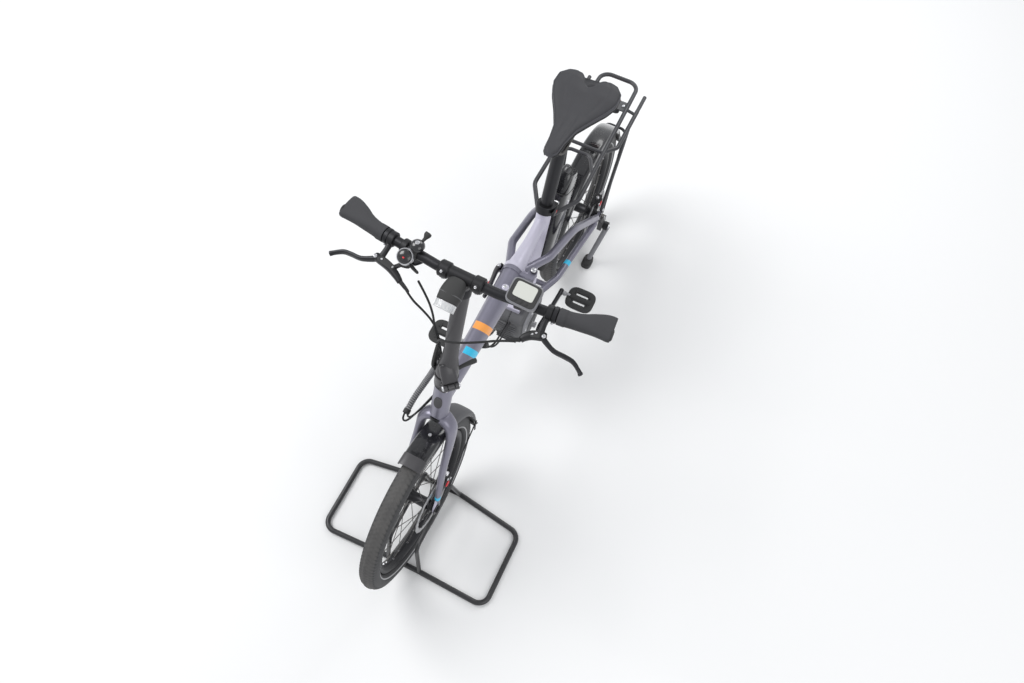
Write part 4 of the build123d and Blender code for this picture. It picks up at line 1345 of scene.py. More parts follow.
@dataclass
class HandlePost:
    """Clamp on the steerer, folding knuckle, tapered post and its two levers."""

    knuckle_z: float = 690.0
    pivot_out: float = 37.0
    post_low: float = 691.0

    def __post_init__(self) -> None:
        """Directions of the folding knuckle: out to the front left, and its hinge line."""
        half = math.sqrt(0.5)
        self.out = np.array((half, half, 0.0))
        self.line = np.array((half, -half, 0.0))
        self.pivot = np.array((head_x(self.knuckle_z), 0.0, self.knuckle_z)) + self.out * self.pivot_out

    def spot(self, out: float, along: float, up: float) -> np.ndarray:
        """Point of the knuckle: out from the post, along the hinge line, and up."""
        middle = np.array((head_x(self.knuckle_z), 0.0, self.knuckle_z))
        return middle + out * self.out + along * self.line + up * UPWARD

    def eye(self, low: float, high: float, radius: float) -> Surface:
        """Rounded barrel on the hinge line."""
        profile = [(low, radius - 1), (low + 1, radius), (high - 1, radius), (high, radius - 1)]
        return lathe(profile, self.pivot, self.line, 36)

    def base(self) -> list[tuple[Surface, Finish]]:
        """Steerer clamp with a rounded foot, its slit lugs, two pinch bolts and the hinge ear.

        Returns:
            Each piece with its finish.
        """
        clamp = lathe([(0, 22), (0.6, 24.4), (3, 26), (20, 26.6), (27, 28.2), (31, 28.6), (32.6, 27.4),
                       (32.8, 20)], head_point(657.0), HEAD_UP, 72)
        ear = loft(keyed(self.spot, [(14, 0, -14, 7.6, 9, 3), (25, 0, -12, 7.8, 9, 3),
                                     (36, 0, -3.5, 7.8, 8.0, 2.6)]), self.line, 14, 24)
        parts = [(clamp, DARK_SATIN), (ear, DARK_SATIN), (self.eye(-7.9, 7.9, 9.2), DARK_SATIN)]
        for rise in (7.0, 20.0):
            middle = head_point(657.0, 26.0, 8.0, rise)
            lug = loft(keyed(beside(middle), [(0, -9, 0, 5.5, 6.5, 3), (0, 0, 0, 6.5, 7, 3),
                                              (0, 9, 0, 5.5, 6.5, 3)]), HEAD_UP, 12, 20)
            parts += [(lug, DARK_SATIN), (bolt(middle + (0, 9.6, 0), LEFTWARD, 4.0, 3.0), SILVER)]
        seat = lathe([(-4, 18), (-4, 24.6), (-1.5, 25.2), (0.8, 24.6), (0.8, 18)], head_point(656.5),
                     HEAD_UP, 56)
        return parts + [(seat, BLACK_METAL)]

    def post(self) -> list[tuple[Surface, Finish]]:
        """Post that flares at its foot into two hinge ears, with a collar at its top.

        Returns:
            Each piece with its finish.
        """
        tube_part = lathe([(0.2, 23), (1.0, 26.6), (7, 27.4), (16, 26.2), (34, 22.6), (56, 18.9),
                           (78, 17.6), (258, 17.5)], head_point(self.post_low), HEAD_UP, 72)
        shoulder = loft(keyed(self.spot, [(-4, 0, 46, 15, 9, 2.2), (10, 0, 28, 18.5, 12, 2.4),
                                          (24, 0, 14, 18.5, 9.5, 3), (33, 0, 8.5, 17.8, 5.0, 3)]),
                        self.line, 22, 32)
        parts = [(tube_part, DARK_SATIN), (shoulder, DARK_SATIN)]
        for sign in (-1.0, 1.0):
            near, far = sorted((sign * 9.0, sign * 18.0))
            parts.append((self.eye(near, far, 9.3), DARK_SATIN))
            parts.append((bolt(self.pivot + self.line * sign * 18.0, self.line * sign, 6.4, 3.6), SILVER))
        cap = lathe([(246, 17.6), (248, 19.6), (268, 19.8), (271, 18.4), (272, 14)],
                    head_point(self.post_low), HEAD_UP, 60)
        return parts + [(cap, BLACK_METAL)]

    def levers(self) -> list[tuple[Surface, Finish]]:
        """Long latch strap down the post's right side, and the short rounded lever behind it on the left.

        Returns:
            Each piece with its finish.
        """
        strap = loft([(head_x(700) + 4, -31, 688, 5.5, 3.6, 3), (head_x(710) + 5, -34, 706, 8.5, 4.6, 3),
                      (head_x(735) + 3, -34, 734, 8.0, 4.4, 3), (head_x(760) + 1, -32, 766, 6.2, 4.0, 2.6)],
                     FORWARD, 26, 24)
        hook = loft([(head_x(700) + 12, -22, 697, 6, 5, 3), (head_x(705) + 8, -30, 700, 6, 5, 3)], UPWARD,
                    8, 18)
        short = loft([(-196, 19, 703, 5, 4, 2.4), (-212, 29, 704, 5.5, 4.5, 2.4),
                      (-229, 40, 702, 7.6, 5.6, 2.2), (-238, 46, 700, 7.0, 5.2, 2.2)], UPWARD, 22, 20)
        pin = bolt((head_x(700) + 4, -35.5, 692), -LEFTWARD, 4.5, 2.6)
        return [(strap, BLACK_PLASTIC), (hook, BLACK_PARTS), (short, BLACK_PLASTIC), (pin, SILVER)]

    def build(self) -> None:
        """Make the clamp, the post and the levers."""
        make("post_clamp", self.base(), "fork_and_stand", ("handlepost_base",), True)
        make("folding_post", self.post(), "handlepost_set", ("handlepost",), True)
        make("post_levers", self.levers(), "handlepost_set", ("post_latch",), True, 0.4)


@dataclass
class Cockpit:
    """Stem, lamp, grips, brake levers, shifter, bell and display on the handlebar."""

    bar_x: float = -262.0
    bar_z: float = 988.0
    bar_half: float = 311.0
    bar_shift: float = 12.0
    sweep: float = 24.0

    def bar(self, y: float) -> np.ndarray:
        """Centre of the handlebar at a distance to the left of its own middle."""
        out = max(abs(y) - 70.0, 0.0)
        return np.array((self.bar_x - self.sweep * out / (self.bar_half - 78.0), y + self.bar_shift,
                         self.bar_z))

    def bar_line(self, side: Side) -> np.ndarray:
        """Unit direction outwards along the bar on one side."""
        return unit(self.bar(side.value * 300.0) - self.bar(side.value * 180.0))

    def fit(self, name: str, parts: list[tuple[Surface, Finish]], node: str,
            bevel: float = 0.0) -> None:
        """Make one piece that the handlepost carries, turned with the parked fork."""
        make(name, parts, "handlepost_set", (node,), True, bevel)

    def collar(self, y: float, half: float, radius: float, side: Side) -> Surface:
        """Rounded clamp collar round the bar."""
        profile = [(-half, 11.4), (-half, radius - 1.5), (-half + 1.5, radius), (half - 1.5, radius),
                   (half, radius - 1.5), (half, 11.4)]
        return lathe(profile, self.bar(y), self.bar_line(side), 44, closed_ring=True)

    def stem(self) -> None:
        """Two bar clamps with split caps and bolts, a cross barrel and a column up from the post."""
        middle = np.array((self.bar_x, 0.0, self.bar_z))
        top = head_point(945.0)
        column = loft([(*top, 17.5, 17.5, 2), (*(top * 0.5 + middle * 0.5), 16, 16, 2.1),
                       (*middle, 13, 13, 2.2)], LEFTWARD, 16, 36)
        barrel = lathe([(-30, 12), (-30, 14.6), (30, 14.6), (30, 12)], middle, LEFTWARD, 40)
        parts = [(column, DARK_SATIN), (barrel, BLACK_PARTS)]
        for side in Side:
            clamp = middle + (0, side.value * 39, 0)
            ring = lathe([(-12, 11.3), (-12, 15.5), (-9.5, 18), (9.5, 18), (12, 15.5), (12, 11.3)], clamp,
                         LEFTWARD, 48, closed_ring=True)
            parts.append((ring, BLACK_PARTS))
            for tilt in (-1.1, 0.7):
                out = unit(np.array((0.85, 0.0, tilt)))
                ear = clamp + out * 15.5
                lug = loft(keyed(beside(ear), [(0, -8, 0, 4.5, 5, 3), (0, 8, 0, 4.5, 5, 3)]), out, 8, 18)
                parts += [(lug, BLACK_PARTS), (bolt(ear + out * 4.0, out, 3.2, 2.2), SILVER)]
        self.fit("stem_clamps", parts, "stem", 0.4)
        dress_node("handlebar", BLACK_METAL)

    def lamp(self) -> None:
        """Rounded lamp housing in front of the bar, with a silver bowl behind a ribbed clear lens."""
        x, z = self.bar_x, self.bar_z
        shell = loft([(x + 10, 0, z + 3, 14, 9, 2.6), (x + 20, 0, z + 2, 21, 16, 2.6),
                      (x + 40, 0, z - 2, 24.5, 18.5, 2.6), (x + 57, 0, z - 7, 23.5, 18, 2.6),
                      (x + 62, 0, z - 9, 22.5, 17, 2.6)], LEFTWARD, 30, 44)
        seam = loft([(x + 46, 0, z - 4, 24.9, 18.9, 2.6), (x + 48, 0, z - 4.6, 24.9, 18.9, 2.6)], LEFTWARD,
                    4, 44, Ends.FLAT)
        bowl = loft([(x + 60, 0, z - 9, 20, 14.5, 2.4), (x + 64, 0, z - 11, 20, 14.5, 2.4)], LEFTWARD, 5,
                    40, Ends.FLAT)
        lens = loft([(x + 61, 0, z - 9, 22.3, 16.8, 2.5), (x + 68, 0, z - 12, 21.5, 16, 2.5),
                     (x + 76, 0, z - 16, 17, 12, 2.3)], LEFTWARD, 16, 44)
        parts = [(shell, BLACK_PLASTIC), (seam, GREY_PLASTIC_AND_PAINTED_HIGHLIGHT), (bowl, SILVER), (lens, CLEAR_LENS)]
        self.fit("front_lamp", parts, "headlamp")

    def grip(self, side: Side) -> None:
        """Grip whose section widens backwards into a palm wing, with a clamp collar at its inner end.

        Args:
            side: which side of the bicycle.
        """
        sign = side.value
        rows = [(198, 0, 17.5, 17.5, 2.2), (208, 0, 17.2, 17.2, 2.2), (226, -1, 16.6, 16.4, 2.2),
                (250, -4, 19.0, 15.8, 2.3), (272, -9, 24.0, 14.4, 2.4), (292, -12, 28.0, 12.8, 2.6),
                (304, -12, 28.5, 12.0, 2.8), (309, -12, 27.0, 11.0, 2.8)]
        keys = [(*(self.bar(sign * y) + (back, 0.0, 0.0)), wide, high, power) for y, back, wide, high,
                power in rows]
        body = loft(keys, FORWARD, 44, 40)
        plug = lathe([(0, 12.5), (3.0, 12.0), (4.4, 9.0), (4.6, 3.0)], self.bar(sign * 308.0),
                     self.bar_line(side), 32)
        screw = bolt(self.bar(sign * 193.0) + (14.5, 0, -9.5), np.array((0.8, 0, -0.6)), 3.2, 3.0)
        parts = [(body, GRIP_RUBBER), (self.collar(sign * 193.0, 5.0, 17.6, side), BLACK_METAL),
                 (plug, BLACK_PLASTIC), (screw, SILVER)]
        self.fit(f"palm_grip_{side.word}", parts, f"grip_{side.word}")

    def brake_lever(self, side: Side, inward: float) -> None:
        """Hydraulic lever: split clamp, neck, master cylinder with its lid, hose boot and curved blade.

        Args:
            side: which side of the bicycle.
            inward: length of its master cylinder, inwards along the bar.
        """
        sign, z = side.value, self.bar_z
        clamp_y = sign * 181.0
        cx = self.bar(clamp_y)[0]
        y0 = clamp_y + self.bar_shift

        def at(forward: float, out: float, up: float) -> tuple[float, float, float]:
            """Point from the clamp: forward, outwards and up."""
            return (cx + forward, y0 + sign * out, z + up)

        reach = np.linspace(0.0, -inward, 4)
        cylinder = loft(keyed(at, [(45, 17, -14, 6.5, 6.5, 2.4), (47, 8, -14, 9.5, 9.0, 2.6),
                                   (54, reach[1], -15, 9.4, 9.0, 2.8), (64, reach[2], -16.5, 8.0, 7.8, 2.6),
                                   (74, reach[3] + 6, -18, 6.0, 6.0, 2.2)]), UPWARD, 34, 28)
        lid = loft(keyed(at, [(50, 4, -5.6, 1.6, 7.4, 4), (57, reach[2] + 8, -7.4, 1.6, 6.4, 4)]), UPWARD,
                   16, 24)
        neck = loft(keyed(at, [(13, 0, -3, 7, 6, 2.6), (30, 1, -8, 6, 6, 2.6), (46, 3, -13, 7, 7, 2.6)]),
                    UPWARD, 18, 22)
        boot = loft(keyed(at, [(72, reach[3] + 8, -17.8, 4.6, 4.6, 2), (78, reach[3] - 5, -18.4, 4.2, 4.2, 2),
                               (85, reach[3] - 20, -20.0, 2.9, 2.9, 2)]), UPWARD, 16, 18)
        blade = loft(keyed(at, [(47, 6, -14, 8, 5.5, 3), (55, 22, -18, 7.4, 4.6, 3),
                                (62, 42, -21, 6.8, 4.0, 3), (61, 66, -25, 7.2, 3.8, 3),
                                (62, 84, -28, 6.8, 3.8, 3), (71, 100, -30.5, 6.0, 3.8, 2.6),
                                (79, 110, -32, 5.8, 5.2, 2.1)]), UPWARD, 54, 24)
        pivot = bolt(at(50, 12, -5.4), UPWARD, 4.4, 2.6)
        parts = [(self.collar(clamp_y, 7.0, 16.8, side), BLACK_PARTS), (neck, BLACK_PARTS),
                 (cylinder, BLACK_PARTS), (lid, BLACK_PLASTIC), (boot, HOSE_RUBBER), (blade, BLACK_METAL),
                 (pivot, SILVER)]
        parts += [(bolt(spot, UPWARD, 2.2, 1.2), SILVER)
                  for spot in (at(51, -4, -4.2), at(56, reach[2] + 12, -5.8))]
        self.fit(f"lever_{side.word}", parts, f"brake_lever_{side.word}", 0.3)

    def shifter(self) -> None:
        """Trigger shifter: a domed gear window with silver rims over its case, and two thumb paddles."""
        spot = self.bar(-142.0)
        face = unit(np.array((0.5, 0.1, 0.86)))
        middle = spot + (24.0, 8.0, 6.0)
        dome = lathe([(-10, 15.5), (-3, 17.5), (3, 17.2), (8, 14.5), (11, 9.5), (12, 3)], middle, face, 44)
        rims = [lathe([(h, r - 1.2), (h, r), (h + 2.6, r - 0.4), (h + 2.6, r - 2)], middle, face, 44,
                      closed_ring=True) for h, r in ((-2.0, 18.4), (4.2, 17.6))]
        place, window = beside(spot), beside(middle + face * 11.3)
        case = loft(keyed(place, [(2, 0, -22, 9, 12, 3), (14, 3, -24, 11, 13, 3),
                                  (30, 7, -20, 9, 12, 2.8)]), UPWARD, 20, 28)
        paddle = loft(keyed(place, [(12, 14, -32, 3, 7, 3), (-6, 24, -36, 3, 8, 3), (-22, 26, -36, 3, 7, 3)]),
                      UPWARD, 18, 20)
        trigger = loft(keyed(place, [(26, -4, -30, 2.5, 5, 3), (38, -14, -32, 2.5, 5.5, 3)]), UPWARD, 12, 18)
        boot = loft(keyed(place, [(24, 16, -14, 4.6, 4.6, 2), (30, 30, -16, 3.8, 3.8, 2),
                                  (33, 42, -20, 2.8, 2.8, 2)]), UPWARD, 14, 16)
        marks = [loft(keyed(window, [(a, b, 0, 1.0, 1.8, 3), (a + 1, b + 5, 0, 1.0, 1.8, 3)]), UPWARD, 5, 10)
                 for a, b in ((3.0, -2.0), (-4.5, -6.0))]
        parts = [(dome, GLOSS_BLACK), (rims[0], SILVER), (rims[1], SILVER), (case, BLACK_PLASTIC),
                 (paddle, BLACK_METAL), (trigger, BLACK_METAL), (boot, BLACK_PLASTIC),
                 (self.collar(-148.0, 7.0, 16.4, Side.RIGHT), BLACK_PARTS)]
        self.fit("gear_shifter", parts + [(mark, RED_MARK) for mark in marks], "shifter")

    def bell(self) -> None:
        """Small dome bell with a silver centre and its thumb striker behind the bar."""
        spot = self.bar(-120.0)
        foot = spot + (-4.0, 0.0, 15.0)
        lean = unit(np.array((-0.1, 0.0, 1.0)))
        dome = lathe([(3, 14.6), (4, 15.6), (8, 15.4), (12, 13.2), (15.5, 9), (17, 3.5)], foot, lean, 44)
        base = lathe([(-4, 8), (-2, 10), (2.8, 11)], foot, lean, 32)
        centre = lathe([(16.4, 5.2), (17.6, 4.6), (18.2, 2.0)], foot, lean, 24)
        arm = loft(keyed(beside(foot), [(-8, 1, 4, 3, 3.5, 3), (-22, 4, 5, 3, 3.5, 3), (-31, 5, 7, 6.5, 7, 3),
                                        (-37, 6, 8, 6, 7, 3)]), UPWARD, 22, 20)
        parts = [(dome, GLOSS_BLACK), (base, BLACK_PLASTIC), (centre, SILVER), (arm, BLACK_PLASTIC),
                 (self.collar(-120.0, 5.5, 15.6, Side.RIGHT), BLACK_PLASTIC)]
        self.fit("thumb_bell", parts, "bell")

    def display(self) -> None:
        """Display: a tilted grey case with rounded corners, a pale screen, side buttons and a bar mount."""
        middle = self.bar(124.0) + (-4.0, 0.0, 27.0)
        normal = unit(np.array((0.3, 0.05, 1.0)))
        ahead = unit(np.array((1.0, 0.0, -0.3)))
        left = np.cross(normal, ahead)
        case = slab(rounded_outline(27.0, 33.0, 6.0, 48), -8.0, 7.0, middle, ahead, left, 2.4)
        rim = slab(rounded_outline(24.5, 30.0, 6.0, 48), 6.0, 8.4, middle, ahead, left, 0.8)
        screen = slab(rounded_outline(16.0, 22.0, 8.0, 48), 7.5, 9.2, middle - ahead * 4.0, ahead, left, 0.4)
        under = loft([(*(middle + normal * -8 - left * 10), 24, 8, 3),
                      (*(middle + normal * -14 + left * 4), 22, 9, 3),
                      (*(middle + normal * -20 + left * 14), 14, 7, 3)], ahead, 16, 30)
        parts = [(case, DISPLAY_GREY), (rim, BLACK_PLASTIC), (screen, PALE_SCREEN), (under, BLACK_PLASTIC),
                 (self.collar(118.0, 9.0, 16.0, Side.LEFT), BLACK_PLASTIC)]
        for shift in (-12.0, 0.0, 12.0):
            button = lathe([(7.8, 4.0), (9.2, 3.8), (9.8, 2.4)], middle + ahead * 18.4 + left * shift,
                           normal, 20)
            parts.append((button, BLACK_PLASTIC))
        self.fit("bar_display", parts, "display")

    def build(self) -> None:
        """Make everything on the bar."""
        self.stem()
        self.lamp()
        for side, inward in ((Side.LEFT, 33.0), (Side.RIGHT, 67.0)):
            self.grip(side)
            self.brake_lever(side, inward)
        self.shifter()
        self.bell()
        self.display()


# ------------------------------------------------------------------ hoses
@dataclass
class Hoses:
    """Brake hoses, gear cable, the wrapped bundle and the cables under the main tube."""

    radius: float = 2.5
    bar_routes: tuple = (("right_brake_hose", ((-202, -104, 970), (-196, -86, 938), (-207, -66, 888),
                                               (-219, -50, 830), (-223, -42, 775), (-226, -40, 718),
                                               (-221, -39, 663))),
                         ("gear_cable", ((-229, -84, 958), (-227, -66, 915), (-221, -50, 868),
                                         (-212, -42, 815), (-213, -37, 765), (-218, -41, 714),
                                         (-214, -41, 663))), ("left_brake_hose",
                                                              ((-187.5, 153.5, 969.5), (-186, 124, 950),
                                                               (-177, 78, 916), (-172, 30, 880),
                                                               (-182, -12, 838), (-201, -32, 790),
                                                               (-214, -30, 728), (-216, -33, 663))))
    frame_routes: tuple = (
        ("motor_cable", ((-338, 21, 580), (-350, 32, 548), (-388, 34, 505), (-438, 26, 458), (-492, 16, 408),
                         (-526, 10, 374))),
        ("sensor_cable", ((-330, 12, 570), (-352, 22, 533), (-396, 25, 490), (-446, 16, 446), (-498, 8, 396),
                          (-526, 2, 366))))
    return_routes: tuple = (
        ("first_return_hose", ((-119.5, -87, 500), (-100, -86, 502), (-91, -70, 517), (-107, -54, 541),
                               (-136, -38, 564), (-163, -22.5, 592))),
        ("second_return_hose", ((-119.5, -80, 505), (-109, -76, 509), (-104, -64, 522), (-118, -52, 536),
                                (-146, -38, 552), (-172, -24, 572))))
    bundle_route: tuple = ((-217, -37.5, 661), (-213, -52, 602), (-190, -70, 546), (-152, -84, 510),
                           (-120, -84, 502))

    def curve(self, name: str, route: tuple, radius: float) -> bpy.types.Object:
        """Smooth NURBS line with the route's points as its control points.

        Args:
            name: the curve's name.
            route: the control points in millimetres.
            radius: half the hose's thickness, or 0 for a bare line.
        Returns:
            The curve's object.
        """
        data = bpy.data.curves.new(name, "CURVE")
        data.dimensions = "3D"
        spline = data.splines.new("NURBS")
        spline.points.add(len(route) - 1)
        places = metres(np.array(route, float))
        spline.points.foreach_set("co", np.concatenate((places, np.ones((len(route), 1))), 1).ravel())
        spline.order_u = 3
        spline.use_endpoint_u = True
        spline.resolution_u = 14
        data.bevel_depth = radius / 1000.0
        data.bevel_resolution = 3
        data.use_fill_caps = True
        piece = bpy.data.objects.new(name, data)
        bpy.context.scene.collection.objects.link(piece)
        return piece

    def line(self, route: tuple) -> np.ndarray:
        """Points along the route's smooth line, in millimetres.

        Args:
            route: the corners that the hose passes.
        Returns:
            The points, from one end to the other.
        """
        bare = self.curve("bundle_line", route, 0.0)
        bpy.context.view_layer.update()
        mesh = bpy.data.meshes.new_from_object(bare.evaluated_get(bpy.context.evaluated_depsgraph_get()))
        places = np.empty(len(mesh.vertices) * 3)
        mesh.vertices.foreach_get("co", places)
        bpy.data.objects.remove(bare)
        bpy.data.meshes.remove(mesh)
        return places.reshape(-1, 3) * 1000.0 - ORIGIN

    def bundle(self) -> Surface:
        """Wrapped bundle: a tube whose radius follows a sine of the length and the turn, as a coil's does.

        Returns:
            The closed bundle.
        """
        line = self.line(self.bundle_route)
        length = np.concatenate(([0], np.cumsum(np.linalg.norm(np.diff(line, axis=0), axis=1))))
        even = np.linspace(0, length[-1], 341)
        path = np.stack([np.interp(even, length, line[:, axis]) for axis in range(3)], -1)
        sides, coils = 24, 34
        phase = np.linspace(0, coils * math.tau, len(path))[:, None] + ring_angles(sides)[None]
        size = 7.6 + 0.55 * np.clip(np.sin(phase) * 1.6, -1, 1)
        sections = oval(sides, np.full(len(path), 2.0)) * size[..., None]
        return grid(carried(path, sections, np.array((0.6, -0.8, 0.1))), wrap_v=True, closed=True)

    def build(self) -> None:
        """Make the wrapped bundle and lay every thin hose."""
        end = np.array(self.bundle_route[-1], float)
        cuff = lathe([(-8, 8.2), (-7, 9.0), (3, 9.0), (4, 8.2)], end, np.array((1.0, 0.0, -0.15)), 30)
        make("wrapped_bundle", [(self.bundle(), GREY_WRAP), (cuff, BLACK_PLASTIC)], "front_half",
             ("hose_bundle",))
        groups = ((self.bar_routes, "handlepost_set", "bar_hoses"),
                  (self.frame_routes, "front_half", "frame_hoses"),
                  (self.return_routes, "front_half", "hose_bundle"))
        for routes, body, node in groups:
            for name, route in routes:
                hose = self.curve(name, route, self.radius)
                hose.data.materials.append(HOSE_RUBBER.material())
                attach(hose, body)
                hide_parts(node)
                log.info("laid %s", name)


# ------------------------------------------------------------------ frame
def repeated(template: Surface, places: np.ndarray, angles: np.ndarray) -> Surface:
    """Copies of a surface made about the origin, each turned about the crosswise axis and moved.

    Args:
        template: the surface to copy.
        places: where each copy's origin goes.
        angles: how far each is turned, in radians, from forward towards up.
    Returns:
        One surface that holds every copy.
    """
    cos, sin = np.cos(angles)[:, None], np.sin(angles)[:, None]
    x, y, z = template.points.T
    turned = np.stack((x * cos - z * sin, y + 0 * cos, x * sin + z * cos), -1)
    points = (turned + places[:, None]).reshape(-1, 3)
    start = np.arange(len(places)) * len(template.points)
    quads = (template.quads[None] + start[:, None, None]).reshape(-1, 4)
    caps = [cap + shift for shift in start for cap in template.caps]
    return Surface(points, quads, caps, np.tile(template.uv, (len(places), 1)))


def closed_curve(corners: list[tuple], count: int) -> np.ndarray:
    """Smooth closed outline through the corners: each point is a cubic blend of its four nearest corners.

    Args:
        corners: the corners in order, without repeating the first.
        count: points in the whole outline.
    Returns:
        The outline's points.
    """
    keys = np.array(corners, float)
    place = np.linspace(0, len(keys), count, endpoint=False)
    low = place.astype(int)
    t = (place - low)[:, None]
    a, b, c, d = (keys[(low + shift) % len(keys)] for shift in (-1, 0, 1, 2))
    return 0.5 * (2 * b + (c - a) * t + (2 * a - 5 * b + 4 * c - d) * t**2 + (3 * b - a - 3 * c + d) * t**3)


@dataclass
class FrameTrim:
    """Paint of both frame halves, the hinge's latch, its bolts and the head tube's bare plate."""

    hinge_x: float = -542.0
    hinge_z: float = 600.0
    pivot_x: float = -554.0
    pivot_y: float = 50.0

    def latch(self) -> list[tuple[Surface, Finish]]:
        """Long lever along the tube's right side, with a hooked end, a safety slide and its pin.

        Returns:
            Each piece with its finish.
        """
        x, z = self.hinge_x, self.hinge_z
        lever = loft([(x - 2, -38, z + 6, 6.5, 12.5, 3), (x + 14, -41, z + 6, 6.0, 12, 3),
                      (x + 44, -38, z + 5, 5.2, 10.5, 3), (x + 78, -35, z + 3, 5.0, 10, 3),
                      (x + 97, -36, z + 2, 4.4, 8.0, 2.6)], LEFTWARD, 40, 28)
        slide = slab(rounded_outline(13, 6.5, 4.0, 32), -1.0, 4.0, (x + 62, -40, z + 4), FORWARD, UPWARD, 1.0)
        pin = lathe([(-15, 4.5), (15, 4.5), (16.5, 3.6)], (x + 4, -38, z + 6), UPWARD, 20)
        hook = loft([(x - 10, -34, z + 6, 5, 9, 3), (x + 6, -37, z + 6, 5.5, 10, 3)], LEFTWARD, 8, 20)
        return [(lever, DARK_SATIN), (slide, RED_MARK), (pin, SILVER), (hook, BLACK_PARTS)]

    def hardware(self) -> list[tuple[Surface, Finish]]:
        """Pin caps with dark washers above and below the knuckle.

        Returns:
            Each piece with its finish.
        """
        parts = []
        for sign in (-1.0, 1.0):
            seat, out = np.array((self.pivot_x, self.pivot_y, self.hinge_z + sign * 36.0)), UPWARD * sign
            washer = lathe([(-1.5, 8.6), (0.6, 8.6), (0.6, 5.2)], seat - out * 0.2, out, 28)
            parts += [(bolt(seat, out, 7.5, 4.0), SILVER), (washer, BLACK_PARTS)]
        return parts

    def head(self) -> list[tuple[Surface, Finish]]:
        """Oval plate on the head tube, the bolt ahead of the collar and the cable entry under the tube.

        Returns:
            Each piece with its finish.
        """
        plate = slab(rounded_outline(11.0, 19.0, 2.2, 40), 0.0, 2.2, head_point(610.0, 22.0), LEFTWARD,
                     HEAD_UP, 0.8)
        boss = lathe([(-3, 9), (1.5, 8.4), (2.6, 6.0)], (-474.0, 9.0, 642.0), UPWARD, 28)
        screw = bolt((-474.0, 9.0, 644.4), UPWARD, 5.2, 2.6)
        entry = loft([(-332, 17, 578, 9, 6, 3), (-344, 20, 570, 7.5, 5, 3), (-350, 22, 560, 5, 4, 2.4)],
                     LEFTWARD, 12, 20)
        return [(plate, DARK_SATIN), (boss, LILAC_PAINT), (screw, SILVER), (entry, BLACK_PLASTIC)]

    def build(self) -> None:
        """Paint the frame and make its trim."""
        dress_node("front_frame", MAIN_TUBE_PAINT)
        dress_node("rear_frame", LILAC_PAINT)
        dress_node("rear_stays", STAY_PAINT)
        make("hinge_latch", self.latch(), "front_half", ("frame_latch",), False, 0.4)
        make("front_frame_trim", self.hardware() + self.head(), "front_half")


